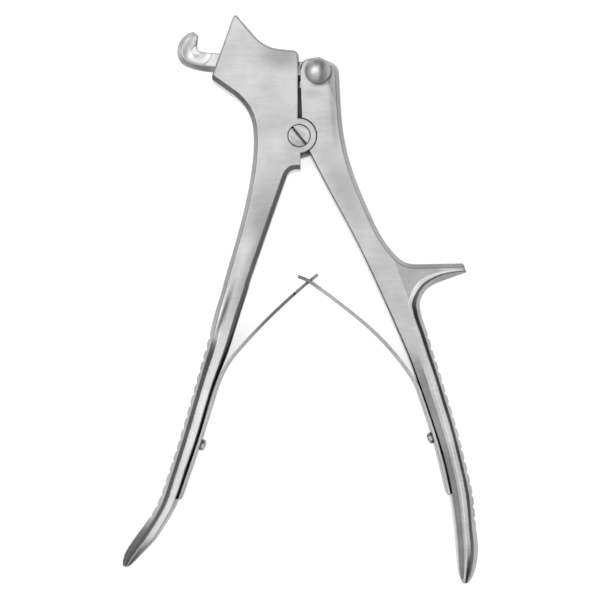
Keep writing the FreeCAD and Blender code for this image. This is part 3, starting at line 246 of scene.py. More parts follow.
class SpringProperties(bpy.types.PropertyGroup):
    """Sizes of the two leaf springs."""

    thickness: FloatProperty(
        name="Thickness", description="Thickness of the spring strip",
        subtype="DISTANCE", unit="LENGTH", min=0.0002, default=0.0011)
    width: FloatProperty(
        name="Width", description="Width of the strip on the grip",
        subtype="DISTANCE", unit="LENGTH", min=0.001, default=0.0086)
    neck_width: FloatProperty(
        name="Neck width", description="Width of the strip where its end is formed",
        subtype="DISTANCE", unit="LENGTH", min=0.001, default=0.0070)
    tongue_width: FloatProperty(
        name="Tongue width", description="Width of the left spring's tongue",
        subtype="DISTANCE", unit="LENGTH", min=0.0005, default=0.0026)
    slot_width: FloatProperty(
        name="Fork slot", description="Width of the slot in the right spring's fork",
        subtype="DISTANCE", unit="LENGTH", min=0.001, default=0.0036)
    end_length: FloatProperty(
        name="End length", description="Length of the tongue and of the fork",
        subtype="DISTANCE", unit="LENGTH", min=0.001, default=0.0114)
    left_taper: FloatProperty(
        name="Left taper", description="Length from where the left spring starts to narrow to its end",
        subtype="DISTANCE", unit="LENGTH", min=0.001, default=0.0409)
    right_taper: FloatProperty(
        name="Right taper", description="Length from where the right spring starts to narrow to its end",
        subtype="DISTANCE", unit="LENGTH", min=0.001, default=0.0466)
    shoulder: FloatProperty(
        name="Shoulder", description="Length of the step from the left spring's neck to its tongue",
        subtype="DISTANCE", unit="LENGTH", min=0.0001, default=0.0008)
    steps: IntProperty(
        name="Steps", description="Steps in each stretch of a spring",
        min=2, max=64, default=14)


class StageProperties(bpy.types.PropertyGroup):
    """The table, the light and the camera."""

    camera_height: FloatProperty(
        name="Camera height", description="Height of the camera over the table",
        subtype="DISTANCE", unit="LENGTH", min=0.1, default=0.4251)
    field_of_view: FloatProperty(
        name="Field of view", description="Angle that the camera sees",
        subtype="ANGLE", unit="ROTATION", min=0.1, max=2.0, default=math.radians(28.8))
    table_size: FloatProperty(
        name="Table size", description="Width of the table",
        subtype="DISTANCE", unit="LENGTH", min=0.5, default=4.0)
    table_shade: FloatProperty(
        name="Table shade", description="How much of the lamps' light the table gives back",
        subtype="FACTOR", min=0, max=1, default=0.5)
    table_glow: FloatProperty(
        name="Table glow", description="Light that the table adds for the camera and in mirroring steel",
        min=0, default=0.75)
    key_power: FloatProperty(
        name="Key light", description="Power of the large lamp over the table",
        unit="POWER", min=0, default=1.6)
    side_power: FloatProperty(
        name="Side light", description="Power of the lamp at the lever's side",
        unit="POWER", min=0, default=0.4)
    left_power: FloatProperty(
        name="Left light", description="Power of the lamp at the fixed handle's side",
        unit="POWER", min=0, default=1.0)


def spring_settings():
    return bpy.context.scene.skull_punch


def steel_settings():
    return bpy.context.scene.skull_punch_steel


def stage_settings():
    return bpy.context.scene.skull_punch_stage


# Shader building

def add_node(tree, kind, place, **values):
    """Add a node, and set its settings or its input sockets by name."""
    node = tree.nodes.new(kind)
    node.location = place
    for key, value in values.items():
        name = key.replace("_", " ")
        if hasattr(node, key):
            setattr(node, key, value)
        else:
            node.inputs[name].default_value = value
    return node


def new_group(name, inputs, outputs):
    """A shader node group with named float, colour or vector sockets."""
    group = bpy.data.node_groups.new(name, "ShaderNodeTree")
    for label, kind, value in inputs:
        socket = group.interface.new_socket(name=label, in_out="INPUT", socket_type=kind)
        if value is not None:
            socket.default_value = value
    for label, kind in outputs:
        group.interface.new_socket(name=label, in_out="OUTPUT", socket_type=kind)
    start = group.nodes.new("NodeGroupInput")
    start.location = (-1000, 0)
    end = group.nodes.new("NodeGroupOutput")
    end.location = (600, 0)
    return group, start, end


def brush_group():
    """Fine grinding lines along X, in two sizes, broken up along their length."""
    found = bpy.data.node_groups.get("Brush lines")
    if found:
        return found
    group, start, end = new_group(
        "Brush lines",
        [("Vector", "NodeSocketVector", None), ("Pitch", "NodeSocketFloat", 1.0)],
        [("Lines", "NodeSocketFloat")],
    )
    link = group.links.new
    total = None
    for row, (along, across, detail, share) in enumerate(BRUSH_ROWS):
        level = -250 * row
        stretch = add_node(group, "ShaderNodeCombineXYZ", (-800, level), X=along, Y=across, Z=across)
        scale = add_node(group, "ShaderNodeVectorMath", (-600, level), operation="MULTIPLY")
        noise = add_node(group, "ShaderNodeTexNoise", (-400, level), Detail=detail, Roughness=0.6)
        part = add_node(group, "ShaderNodeMath", (-150, level), operation="MULTIPLY_ADD")
        part.inputs[1].default_value = share
        part.inputs[2].default_value = 0.0
        link(start.outputs["Vector"], scale.inputs[0])
        link(stretch.outputs["Vector"], scale.inputs[1])
        link(scale.outputs["Vector"], noise.inputs["Vector"])
        link(start.outputs["Pitch"], noise.inputs["Scale"])
        link(noise.outputs["Fac"], part.inputs[0])
        if total:
            link(total, part.inputs[2])
        total = part.outputs["Value"]
    link(total, end.inputs["Lines"])
    return group


def handling_group():
    """Soft clouds, as cleaning and handling leave on steel."""
    found = bpy.data.node_groups.get("Handling marks")
    if found:
        return found
    group, start, end = new_group(
        "Handling marks",
        [("Vector", "NodeSocketVector", None), ("Scale", "NodeSocketFloat", 1.0)],
        [("Marks", "NodeSocketFloat")],
    )
    noise = add_node(group, "ShaderNodeTexNoise", (-500, 0), Detail=4.0, Roughness=0.55)
    spread = add_node(group, "ShaderNodeMapRange", (-200, 0), From_Min=NOISE_RANGE[0],
                      From_Max=NOISE_RANGE[1])
    group.links.new(start.outputs["Vector"], noise.inputs["Vector"])
    group.links.new(start.outputs["Scale"], noise.inputs["Scale"])
    group.links.new(noise.outputs["Fac"], spread.inputs["Value"])
    group.links.new(spread.outputs["Result"], end.inputs["Marks"])
    return group


def flat_group():
    """One on the faces that lie level, and nothing on bevels, grips and walls."""
    found = bpy.data.node_groups.get("Level faces")
    if found:
        return found
    group, start, end = new_group(
        "Level faces",
        [("Normal", "NodeSocketVector", None)],
        [("Mask", "NodeSocketFloat")],
    )
    split = add_node(group, "ShaderNodeSeparateXYZ", (-700, 0))
    size = add_node(group, "ShaderNodeMath", (-500, 0), operation="ABSOLUTE")
    mask = add_node(group, "ShaderNodeMapRange", (-250, 0), From_Min=LEVEL_RANGE[0],
                    From_Max=LEVEL_RANGE[1])
    group.links.new(start.outputs["Normal"], split.inputs["Vector"])
    group.links.new(split.outputs["Z"], size.inputs[0])
    group.links.new(size.outputs["Value"], mask.inputs["Value"])
    group.links.new(mask.outputs["Result"], end.inputs["Mask"])
    return group


def patch_group():
    """Multiply a factor by one soft oval of painted shade, or of painted highlight where its loss is below
    nothing: one outside it, and less or more than one at its middle.
    """
    found = bpy.data.node_groups.get("Ground patch")
    if found:
        return found
    group, start, end = new_group(
        "Ground patch",
        [("Vector", "NodeSocketVector", None), ("Middle", "NodeSocketVector", None),
         ("Turn", "NodeSocketVector", None), ("Size", "NodeSocketVector", None),
         ("Loss", "NodeSocketFloat", 0.0), ("Factor", "NodeSocketFloat", 1.0)],
        [("Factor", "NodeSocketFloat")],
    )
    link = group.links.new
    oval = add_node(group, "ShaderNodeMapping", (-750, 0), vector_type="TEXTURE")
    reach = add_node(group, "ShaderNodeVectorMath", (-550, 0), operation="LENGTH")
    soft = add_node(group, "ShaderNodeMapRange", (-350, 0), interpolation_type="SMOOTHSTEP", From_Min=1.0,
                    From_Max=PATCH_CORE)
    loss = add_node(group, "ShaderNodeMath", (-100, 0), operation="MULTIPLY")
    left = add_node(group, "ShaderNodeMath", (100, 0), operation="SUBTRACT")
    left.inputs[0].default_value = 1.0
    both = add_node(group, "ShaderNodeMath", (300, 0), operation="MULTIPLY")
    link(start.outputs["Vector"], oval.inputs["Vector"])
    link(start.outputs["Middle"], oval.inputs["Location"])
    link(start.outputs["Turn"], oval.inputs["Rotation"])
    link(start.outputs["Size"], oval.inputs["Scale"])
    link(oval.outputs["Vector"], reach.inputs[0])
    link(reach.outputs["Value"], soft.inputs["Value"])
    link(soft.outputs["Result"], loss.inputs[0])
    link(start.outputs["Loss"], loss.inputs[1])
    link(loss.outputs["Value"], left.inputs[1])
    link(left.outputs["Value"], both.inputs[0])
    link(start.outputs["Factor"], both.inputs[1])
    link(both.outputs["Value"], end.inputs["Factor"])
    return group


def multiply(tree, place, first, second):
    """The product of two values."""
    both = add_node(tree, "ShaderNodeMath", place, operation="MULTIPLY")
    tree.links.new(first, both.inputs[0])
    tree.links.new(second, both.inputs[1])
    return both.outputs["Value"]


def patch_factor(tree, place, patches, factor=None):
    """A factor, or one where there is none, multiplied by all the patches."""
    for row, (x, y, length, width, turn, loss) in enumerate(patches):
        patch = place_group(tree, patch_group(), (-950, -600 - 300 * row), Middle=(x * MM, y * MM, 0),
                            Turn=(0, 0, math.radians(turn)), Size=(length * MM, width * MM, 1), Loss=loss)
        tree.links.new(place.outputs["Object"], patch.inputs["Vector"])
        if factor:
            tree.links.new(factor, patch.inputs["Factor"])
        factor = patch.outputs["Factor"]
    return factor


def rest_factor(tree, place, level):
    """Painted shade on the finger rest's level face: a sharp border at the handle, fading out down the grip.
    """
    link = tree.links.new
    turn = add_node(tree, "ShaderNodeMapping", (-1200, 700), vector_type="TEXTURE",
                    Location=(REST_BORDER[0] * MM, REST_BORDER[1] * MM, 0),
                    Rotation=(0, 0, math.radians(REST_BORDER_TURN)))
    across = add_node(tree, "ShaderNodeSeparateXYZ", (-1000, 700))
    border = add_node(tree, "ShaderNodeMapRange", (-800, 700), From_Min=0.0, From_Max=REST_BORDER_SOFT * MM)
    whole = add_node(tree, "ShaderNodeSeparateXYZ", (-1000, 900))
    fade = add_node(tree, "ShaderNodeMapRange", (-800, 900), From_Min=REST_FADE[0] * MM,
                    From_Max=REST_FADE[1] * MM)
    factor = add_node(tree, "ShaderNodeMapRange", (-200, 800), To_Min=1.0, To_Max=REST_SHADE)
    link(place.outputs["Object"], turn.inputs["Vector"])
    link(turn.outputs["Vector"], across.inputs["Vector"])
    link(across.outputs["Y"], border.inputs["Value"])
    link(place.outputs["Object"], whole.inputs["Vector"])
    link(whole.outputs["Y"], fade.inputs["Value"])
    both = multiply(tree, (-600, 800), border.outputs["Result"], fade.outputs["Result"])
    link(multiply(tree, (-400, 800), both, level.outputs["Mask"]), factor.inputs["Value"])
    return factor.outputs["Result"]


def place_group(tree, group, place, **values):
    """Add a node for a group, and set its input sockets by name."""
    node = tree.nodes.new("ShaderNodeGroup")
    node.node_tree = group
    node.location = place
    for key, value in values.items():
        node.inputs[key].default_value = value
    return node


def shade(colour, factor):
    """A colour made lighter or darker, as a socket takes it."""
    return (*(min(1.0, channel * factor) for channel in colour), 1.0)


def steel_strength(tree, place, level, patches, level_patches):
    """How bright the steel's colour is at each place: painted shade on bevels and grips, and patches of
    painted shade and highlight, against the level faces.
    """
    # Painted shade on bevels and grips, by how far their faces tilt from level
    bevel_shading = add_node(tree, "ShaderNodeMapRange", (-400, 0), To_Min=steel_settings().bevel_shade, To_Max=1.0)
    tree.links.new(level.outputs["Mask"], bevel_shading.inputs["Value"])
    strength = patch_factor(tree, place, patches, bevel_shading.outputs["Result"])
    if level_patches:
        # Painted shade and highlights from the patches, on the level faces only
        painted_level_light = add_node(tree, "ShaderNodeMix", (-450, -700), data_type="FLOAT")
        painted_level_light.inputs[MIX_VALUES[0]].default_value = 1.0
        tree.links.new(level.outputs["Mask"], painted_level_light.inputs[MIX_FACTOR])
        tree.links.new(patch_factor(tree, place, level_patches), painted_level_light.inputs[MIX_VALUES[1]])
        strength = multiply(tree, (-250, -200), strength, painted_level_light.outputs[MIX_VALUE_OUT])
        # Painted shade on the finger rest's level face
        strength = multiply(tree, (-250, -350), strength, rest_factor(tree, place, level))
    return strength


def steel_colour(tree, colour, spread, crevice_shade, tone, strength):
    """The steel's colour: lighter and darker with the tone, times the painted shade and highlights, and with
    painted shade in crevices.
    """
    link = tree.links.new
    contrast = add_node(tree, "ShaderNodeMapRange", (-550, 200), From_Min=NOISE_RANGE[0],
                        From_Max=NOISE_RANGE[1])
    paint = add_node(tree, "ShaderNodeMix", (-400, 200), data_type="RGBA")
    paint.inputs[MIX_COLOURS[0]].default_value = shade(colour, 1 - spread)
    paint.inputs[MIX_COLOURS[1]].default_value = shade(colour, 1 + spread)
    # The colour times the painted shade and highlights
    painted_shading = add_node(tree, "ShaderNodeVectorMath", (-150, 200), operation="SCALE")
    crevice = add_node(tree, "ShaderNodeAmbientOcclusion", (-400, 450), Distance=CREVICE_REACH)
    crevice.samples = 8
    depth = add_node(tree, "ShaderNodeMapRange", (-200, 450), From_Min=CREVICE_RANGE[0],
                     From_Max=CREVICE_RANGE[1])
    # Painted shade in crevices: the colour falls to the crevice share where the occlusion finds near walls
    painted_crevice_shade = add_node(tree, "ShaderNodeMix", (100, 250), data_type="RGBA")
    painted_crevice_shade.inputs[MIX_COLOURS[0]].default_value = shade(colour, crevice_shade)
    link(tone.outputs["Value"], contrast.inputs["Value"])
    link(contrast.outputs["Result"], paint.inputs[MIX_FACTOR])
    link(paint.outputs[MIX_COLOUR_OUT], painted_shading.inputs[0])
    link(strength, painted_shading.inputs["Scale"])
    link(crevice.outputs["AO"], depth.inputs["Value"])
    link(depth.outputs["Result"], painted_crevice_shade.inputs[MIX_FACTOR])
    link(painted_shading.outputs["Vector"], painted_crevice_shade.inputs[MIX_COLOURS[1]])
    return painted_crevice_shade.outputs[MIX_COLOUR_OUT]


def steel(name, colour, level_roughness, other_roughness, line_depth, spread, angle=0.0,
          crevice_shade=CREVICE_SHADE, patches=(), level_patches=()):
    """A steel with brush lines on its level faces, and a smoother finish with painted shade on the rest."""
    values = steel_settings()
    material = bpy.data.materials.new(name)
    material.use_nodes = True
    material.diffuse_color = (*colour, 1)
    tree = material.node_tree
    link = tree.links.new
    shader = tree.nodes["Principled BSDF"]
    shader.location = (500, 0)
    shader.inputs["Metallic"].default_value = 1.0
    tree.nodes["Material Output"].location = (800, 0)

    place = add_node(tree, "ShaderNodeTexCoord", (-1400, 0))
    turn = add_node(tree, "ShaderNodeMapping", (-1200, 0), Rotation=(0, 0, angle))
    lines = place_group(tree, brush_group(), (-950, 150), Pitch=values.brush_pitch)
    marks = place_group(tree, handling_group(), (-950, -100), Scale=MARK_SCALE)
    level = place_group(tree, flat_group(), (-950, -350))
    link(place.outputs["Object"], turn.inputs["Vector"])
    link(turn.outputs["Vector"], lines.inputs["Vector"])
    link(place.outputs["Object"], marks.inputs["Vector"])
    link(place.outputs["Normal"], level.inputs["Normal"])

    tone = add_node(tree, "ShaderNodeMath", (-700, 150), operation="MULTIPLY_ADD")
    tone.inputs[1].default_value = TONE_SHARE
    share = add_node(tree, "ShaderNodeMath", (-700, 0), operation="MULTIPLY")
    share.inputs[1].default_value = 1 - TONE_SHARE
    link(lines.outputs["Lines"], tone.inputs[0])
    link(marks.outputs["Marks"], share.inputs[0])
    link(share.outputs["Value"], tone.inputs[2])
    strength = steel_strength(tree, place, level, patches, level_patches)
    link(steel_colour(tree, colour, spread, crevice_shade, tone, strength), shader.inputs["Base Color"])

    rough = add_node(tree, "ShaderNodeMapRange", (-400, -100), To_Min=other_roughness,
                     To_Max=level_roughness)
    vary = add_node(tree, "ShaderNodeMath", (-150, -100), operation="MULTIPLY_ADD")
    vary.inputs[1].default_value = TONE_ROUGHNESS
    link(level.outputs["Mask"], rough.inputs["Value"])
    link(tone.outputs["Value"], vary.inputs[0])
    link(rough.outputs["Result"], vary.inputs[2])
    link(vary.outputs["Value"], shader.inputs["Roughness"])

    rounding = add_node(tree, "ShaderNodeBevel", (0, -500), Radius=values.edge_round)
    rounding.samples = 6
    bump = add_node(tree, "ShaderNodeBump", (250, -350), Strength=LINE_STRENGTH, Distance=line_depth)
    link(rounding.outputs["Normal"], bump.inputs["Normal"])
    link(lines.outputs["Lines"], bump.inputs["Height"])
    link(bump.outputs["Normal"], shader.inputs["Normal"])
    return material


def finish_node(name, material):
    """Give a CAD node's object a material in every slot."""
    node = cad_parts[name]
    if not node.material_slots:
        node.data.materials.append(material)
    for slot in node.material_slots:
        slot.material = material


# Leaf springs

def strip_walk(strip):
    """Each stretch's start, heading, length and turn along a strip."""
    place = Vector(strip["end"]) * MM
    heading = math.radians(strip["heading"])
    walk = []
    for length, turn in strip["stretches"]:
        length = length * MM
        turn = math.radians(turn)
        walk.append((place.copy(), heading, length, turn))
        chord = 2 * length / turn * math.sin(turn / 2)
        middle = heading + turn / 2
        place = place + Vector((math.cos(middle), math.sin(middle))) * chord
        heading += turn
    return walk


def turn_centre(place, heading, radius):
    """The point that a stretch bends around: to its left where its radius is positive."""
    return Vector((place.x - math.sin(heading) * radius, place.y + math.cos(heading) * radius))


def steady_mesh(name, mesh):
    """The mesh with its points and faces in the same order each run, which the spins don't keep."""
    points = sorted(mesh.verts, key=lambda vertex: vertex.co[:])
    rows = {vertex: row for row, vertex in enumerate(points)}
    rings = []
    for face in mesh.faces:
        ring = [rows[vertex] for vertex in face.verts]
        first = ring.index(min(ring))
        rings.append(ring[first:] + ring[:first])
    data = bpy.data.meshes.new(name)
    data.from_pydata([vertex.co[:] for vertex in points], [], sorted(rings))
    return data


def leaf_strip(name, strip, levels, shape):
    """Spin the strip's section along its stretches, then shape its far end."""
    sizes = spring_settings()
    walk = strip_walk(strip)
    mesh = bmesh.new()
    start, heading, _, _ = walk[0]
    across = Vector((-math.sin(heading), math.cos(heading), 0)) * sizes.thickness / 2
    foot = Vector((start.x, start.y, MID_HEIGHT))
    section = []
    for level in levels:
        section.append([mesh.verts.new(foot + across * side + Vector((0, 0, level))) for side in (-1, 1)])
    moving = [mesh.faces.new((low[0], low[1], high[1], high[0])) for low, high in zip(section, section[1:])]
    for row, (place, heading, length, turn) in enumerate(walk):
        centre = turn_centre(place, heading, length / turn).to_3d()
        made = bmesh.ops.spin(mesh, geom=moving, cent=centre, axis=(0, 0, 1), dvec=(0, 0, 0), angle=turn,
                              steps=sizes.steps, use_merge=False, use_duplicate=False)
        if row:
            bmesh.ops.delete(mesh, geom=moving, context="FACES")
        moving = [item for item in made["geom_last"] if isinstance(item, bmesh.types.BMFace)]
    shape(mesh, walk)
    bmesh.ops.recalc_face_normals(mesh, faces=mesh.faces)
    data = steady_mesh(name, mesh)
    mesh.free()
    piece = bpy.data.objects.new(name, data)
    bpy.context.collection.objects.link(piece)
    for polygon in data.polygons:
        polygon.use_smooth = True
    data.set_sharp_from_angle(angle=math.radians(SHARP_ANGLE))
    return piece


def strip_place(walk, point):
    """How far along the strip a point lies and how far to its left, on the stretch nearest to it."""
    best = None
    done = 0.0
    flat = Vector((point.x, point.y))
    for place, heading, length, turn in walk:
        radius = length / turn
        centre = turn_centre(place, heading, radius)
        spoke = flat - centre
        begin = math.atan2(place.y - centre.y, place.x - centre.x)
        swing = math.remainder(math.atan2(spoke.y, spoke.x) - begin, 2 * math.pi)
        along = swing * radius
        left = math.copysign(1.0, radius) * (abs(radius) - spoke.length)
        if -NEAR <= along <= length + NEAR and (best is None or abs(left) < abs(best[1])):
            best = (done + along, left)
        done += length
    return best or (done, 0.0)


def strip_length(walk):
    """The length of all of a strip's stretches."""
    return sum(length for _, _, length, _ in walk)


def strip_width(sizes, along, root, neck):
    """The strip's width: whole up to its root, then narrowing to its neck."""
    share = min(1.0, max(0.0, (along - root) / (neck - root)))
    return sizes.width + (sizes.neck_width - sizes.width) * share


def shape_tongue(mesh, walk):
    """Taper the strip to its neck, then step it in to the tongue."""
    sizes = spring_settings()
    whole = strip_length(walk)
    neck = whole - sizes.end_length
    for vertex in mesh.verts:
        along, _ = strip_place(walk, vertex.co)
        width = strip_width(sizes, along, whole - sizes.left_taper, neck)
        if along > neck:
            share = min(1.0, (along - neck) / sizes.shoulder)
            width += (sizes.tongue_width - sizes.neck_width) * math.sin(share * math.pi / 2)
        level = (vertex.co.z - MID_HEIGHT) / sizes.width
        vertex.co.z = MID_HEIGHT + level * width


def shape_fork(mesh, walk):
    """Taper the strip to its neck, and open the slot of the fork."""
    sizes = spring_settings()
    whole = strip_length(walk)
    neck = whole - sizes.end_length
    for vertex in mesh.verts:
        level = vertex.co.z - MID_HEIGHT
        if abs(level) > sizes.width / 2 - NEAR:
            along, _ = strip_place(walk, vertex.co)
            width = strip_width(sizes, along, whole - sizes.right_taper, neck)
            vertex.co.z = MID_HEIGHT + math.copysign(width / 2, level)
    gone = []
    for face in mesh.faces:
        middle = face.calc_center_median()
        if strip_place(walk, middle)[0] > neck and abs(middle.z - MID_HEIGHT) < sizes.slot_width / 2:
            gone.append(face)
    bmesh.ops.delete(mesh, geom=gone, context="FACES")
    wall_slot(mesh, walk)


def wall_slot(mesh, walk):
    """Close the open rims of the fork's slot with walls across the strip's thickness."""
    rims = {(high, left): [] for high in (False, True) for left in (False, True)}
    for vertex in mesh.verts:
        if any(edge.is_boundary for edge in vertex.link_edges):
            along, left = strip_place(walk, vertex.co)
            rims[vertex.co.z > MID_HEIGHT, left > 0].append((along, vertex))
    for key, rim in rims.items():
        rims[key] = [vertex for _, vertex in sorted(rim, key=lambda item: item[0])]
    for high in (False, True):
        pairs = list(zip(rims[high, False], rims[high, True]))
        for near, far in zip(pairs, pairs[1:]):
            mesh.faces.new((near[0], near[1], far[1], far[0]))
    mesh.faces.new((rims[False, False][0], rims[False, True][0], rims[True, True][0], rims[True, False][0]))


class FORCEPS_OT_leaf_springs(bpy.types.Operator):
    """Build the two leaf springs, each as one bent strip, and hide the CAD's spring feet and blades"""

    bl_idname = "forceps.leaf_springs"
    bl_label = "Leaf springs"

    def execute(self, context):
        sizes = spring_settings()
        # The springs' steel carries painted shade on the left blade from its patch
        material = steel("spring_steel_strip", steel_settings().spring_colour, level_roughness=0.3,
                         other_roughness=0.26, line_depth=10 * MICRON, spread=0.1, patches=SPRING_PATCHES)
        half = sizes.width / 2
        slot = sizes.slot_width / 2
        left = leaf_strip("left_leaf_spring", LEFT_STRIP, (-half, half), shape_tongue)
        right = leaf_strip("right_leaf_spring", RIGHT_STRIP, (-half, -slot, slot, half), shape_fork)
        for piece in (left, right):
            piece.data.materials.append(material)
        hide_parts("left_spring_foot", "left_spring_blade")
        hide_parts("right_spring_foot", "right_spring_blade")
        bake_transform(left)
        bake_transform(right)
        return {"FINISHED"}


class FORCEPS_OT_satin_steel(bpy.types.Operator):
    """Finish the frame and the lever as brushed steel with smoother bevels and grips, with painted shade and
    highlights on them
    """

    bl_idname = "forceps.satin_steel"
    bl_label = "Frame and lever"

    def execute(self, context):
        values = steel_settings()
        material = steel("satin_steel_brushed", values.satin_colour, level_roughness=values.satin_roughness,
                         other_roughness=values.bevel_roughness, line_depth=12 * MICRON, spread=0.13,
                         patches=EDGE_PATCHES, level_patches=FLAT_PATCHES)
        for name in ("frame", "lever"):
            finish_node(name, material)
        return {"FINISHED"}


class FORCEPS_OT_polished_steel(bpy.types.Operator):
    """Finish the hook bar, the pin and the screws as polished steel, with painted shade and highlights on
    the hook and the pin's dome
    """

    bl_idname = "forceps.polished_steel"
    bl_label = "Hook bar, pin and screws"

    def execute(self, context):
        values = steel_settings()
        smooth = values.polished_roughness
        # Painted shade and highlights on the hook and its bar from its patches, and no painted crevice shade
        bar = steel("polished_hook_steel", values.polished_colour, level_roughness=smooth,
                    other_roughness=smooth, line_depth=3 * MICRON, spread=0.1, crevice_shade=1.0,
                    patches=HOOK_PATCHES)
        finish_node("hook_bar", bar)
        # Painted reflection on the pin's dome from its patches
        pin = steel("turned_pin_steel", values.polished_colour, level_roughness=0.42, other_roughness=0.4,
                    line_depth=6 * MICRON, spread=0.16, angle=math.radians(80), patches=DOME_PATCHES)
        finish_node("hook_pin", pin)
        screw = steel("screw_steel", values.satin_colour, level_roughness=0.26, other_roughness=0.2,
                      line_depth=10 * MICRON, spread=0.34, angle=math.radians(38))
        for name in ("pivot_screw", "left_spring_screw", "right_spring_screw"):
            finish_node(name, screw)
        return {"FINISHED"}


# Stage

def table_material():
    """White paper that shows white to the camera and in the steel, and keeps the shadows."""
    values = stage_settings()
    material = bpy.data.materials.new("table_white")
    material.use_nodes = True
    tree = material.node_tree
    tree.nodes.clear()
    link = tree.links.new
    out = add_node(tree, "ShaderNodeOutputMaterial", (700, 0))
    paper = add_node(tree, "ShaderNodeBsdfDiffuse", (0, 0), Color=(*(values.table_shade,) * 3, 1))
    glow = add_node(tree, "ShaderNodeEmission", (0, -200), Color=(1, 1, 1, 1))
    rays = add_node(tree, "ShaderNodeLightPath", (-600, -200))
    seen = add_node(tree, "ShaderNodeMath", (-350, -200), operation="MAXIMUM")
    power = add_node(tree, "ShaderNodeMath", (-200, -200), operation="MULTIPLY")
    power.inputs[1].default_value = values.table_glow
    both = add_node(tree, "ShaderNodeAddShader", (400, 0))
    link(rays.outputs["Is Camera Ray"], seen.inputs[0])
    link(rays.outputs["Is Glossy Ray"], seen.inputs[1])
    link(seen.outputs["Value"], power.inputs[0])
    link(power.outputs["Value"], glow.inputs["Strength"])
    link(paper.outputs["BSDF"], both.inputs[0])
    link(glow.outputs["Emission"], both.inputs[1])
    link(both.outputs["Shader"], out.inputs["Surface"])
    return material


def fill_ramp(ramp, interpolation, stops):
    """Set a colour ramp's grey stops."""
    ramp.interpolation = interpolation
    while len(ramp.elements) < len(stops):
        ramp.elements.new(0.5)
    for element, (position, value) in zip(ramp.elements, stops):
        element.position = position
        element.color = (value, value, value, 1)


def room_world():
    """A studio room for the steel to mirror: grey overhead, bright panels at both sides and dark gaps."""
    world = bpy.data.worlds.new("studio_room")
    world.use_nodes = True
    tree = world.node_tree
    tree.nodes.clear()
    link = tree.links.new
    out = add_node(tree, "ShaderNodeOutputWorld", (900, 0))
    place = add_node(tree, "ShaderNodeTexCoord", (-1100, 0))
    swing = add_node(tree, "ShaderNodeMapping", (-1000, 100), Rotation=(0, 0, math.radians(-WINDOW_WAY)))
    split = add_node(tree, "ShaderNodeSeparateXYZ", (-900, 0))
    tilt = add_node(tree, "ShaderNodeMath", (-700, 100), operation="ARCTAN2")
    turn = add_node(tree, "ShaderNodeMapRange", (-550, 100), From_Min=-math.pi, From_Max=math.pi)
    ramp = add_node(tree, "ShaderNodeValToRGB", (-350, 100))
    link(place.outputs["Generated"], swing.inputs["Vector"])
    link(swing.outputs["Vector"], split.inputs["Vector"])
    link(split.outputs["X"], tilt.inputs[0])
    link(split.outputs["Z"], tilt.inputs[1])
    link(tilt.outputs["Value"], turn.inputs["Value"])
    link(turn.outputs["Result"], ramp.inputs["Fac"])
    fill_ramp(ramp.color_ramp, "EASE", [((degrees + 180) / 360, value) for degrees, value in ROOM_BANDS])
    along = add_node(tree, "ShaderNodeMapRange", (-550, -300), From_Min=-1.0, From_Max=1.0)
    ends = add_node(tree, "ShaderNodeValToRGB", (-350, -300))
    link(split.outputs["Y"], along.inputs["Value"])
    link(along.outputs["Result"], ends.inputs["Fac"])
    fill_ramp(ends.color_ramp, "LINEAR", [((way + 1) / 2, value) for way, value in ROOM_ENDS])
    room = add_node(tree, "ShaderNodeBackground", (300, 0))
    white = add_node(tree, "ShaderNodeBackground", (300, -200), Color=(1, 1, 1, 1), Strength=1.0)
    rays = add_node(tree, "ShaderNodeLightPath", (300, 400))
    choose = add_node(tree, "ShaderNodeMixShader", (650, 0))
    link(ramp.outputs["Color"], room.inputs["Color"])
    link(ends.outputs["Color"], room.inputs["Strength"])
    link(rays.outputs["Is Camera Ray"], choose.inputs["Fac"])
    link(room.outputs["Background"], choose.inputs[1])
    link(white.outputs["Background"], choose.inputs[2])
    link(choose.outputs["Shader"], out.inputs["Surface"])
    return world


def add_lamp(name, place, target, size, power):
    """A rectangular lamp that looks at a point."""
    data = bpy.data.lights.new(name, "AREA")
    data.shape = "RECTANGLE"
    data.size = size[0]
    data.size_y = size[1]
    data.energy = power
    lamp = bpy.data.objects.new(name, data)
    bpy.context.collection.objects.link(lamp)
    way = Vector(target) - Vector(place)
    lamp.matrix_world = Matrix.Translation(place) @ way.to_track_quat("-Z", "Y").to_matrix().to_4x4()
    return lamp


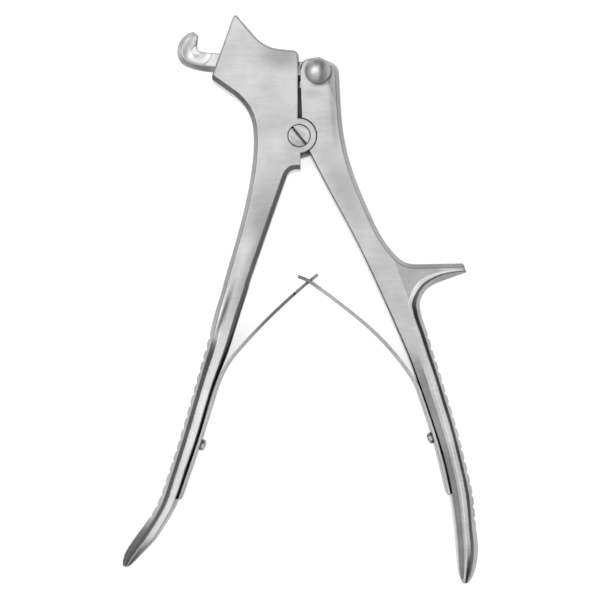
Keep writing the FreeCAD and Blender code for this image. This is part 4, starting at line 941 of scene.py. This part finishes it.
class FORCEPS_OT_stage(bpy.types.Operator):
    """Lay the table, light it and set the camera over it"""

    bl_idname = "forceps.stage"
    bl_label = "Stage"

    def execute(self, context):
        values = stage_settings()
        mesh = bmesh.new()
        bmesh.ops.create_grid(mesh, x_segments=1, y_segments=1, size=values.table_size / 2)
        data = bpy.data.meshes.new("table")
        mesh.to_mesh(data)
        mesh.free()
        table = bpy.data.objects.new("table", data)
        context.collection.objects.link(table)
        data.materials.append(table_material())

        context.scene.world = room_world()
        for name, place, target, size, power in LAMPS:
            add_lamp(name, place, target, size, getattr(values, power))

        lens = bpy.data.cameras.new("camera")
        lens.sensor_width = SENSOR_WIDTH
        lens.angle = values.field_of_view
        lens.clip_start = 0.01
        camera = bpy.data.objects.new("camera", lens)
        context.collection.objects.link(camera)
        camera.location = (*CAMERA_OVER, values.camera_height)
        context.scene.camera = camera
        context.scene.view_settings.view_transform = "Standard"
        return {"FINISHED"}


class FORCEPS_PT_panel(bpy.types.Panel):
    """Steps and sizes of the forceps"""

    bl_idname = "FORCEPS_PT_panel"
    bl_label = "Skull punch forceps"
    bl_space_type = "VIEW_3D"
    bl_region_type = "UI"
    bl_category = "Forceps"

    def draw(self, context):
        layout = self.layout
        for operator in OPERATORS:
            layout.operator(operator.bl_idname)
        for group in (spring_settings(), steel_settings(), stage_settings()):
            box = layout.box()
            for name in group.__annotations__:
                box.prop(group, name)


OPERATORS = (
    FORCEPS_OT_satin_steel,
    FORCEPS_OT_polished_steel,
    FORCEPS_OT_leaf_springs,
    FORCEPS_OT_stage,
)
CLASSES = (SteelProperties, SpringProperties, StageProperties, *OPERATORS, FORCEPS_PT_panel)


def register():
    for item in CLASSES:
        bpy.utils.register_class(item)
    bpy.types.Scene.skull_punch = PointerProperty(type=SpringProperties)
    bpy.types.Scene.skull_punch_steel = PointerProperty(type=SteelProperties)
    bpy.types.Scene.skull_punch_stage = PointerProperty(type=StageProperties)


def unregister():
    del bpy.types.Scene.skull_punch_stage
    del bpy.types.Scene.skull_punch_steel
    del bpy.types.Scene.skull_punch
    for item in reversed(CLASSES):
        bpy.utils.unregister_class(item)


def main():
    register()
    bpy.ops.forceps.satin_steel()
    bpy.ops.forceps.polished_steel()
    bpy.ops.forceps.leaf_springs()
    bpy.ops.forceps.stage()


if __name__ == "__main__":
    main()
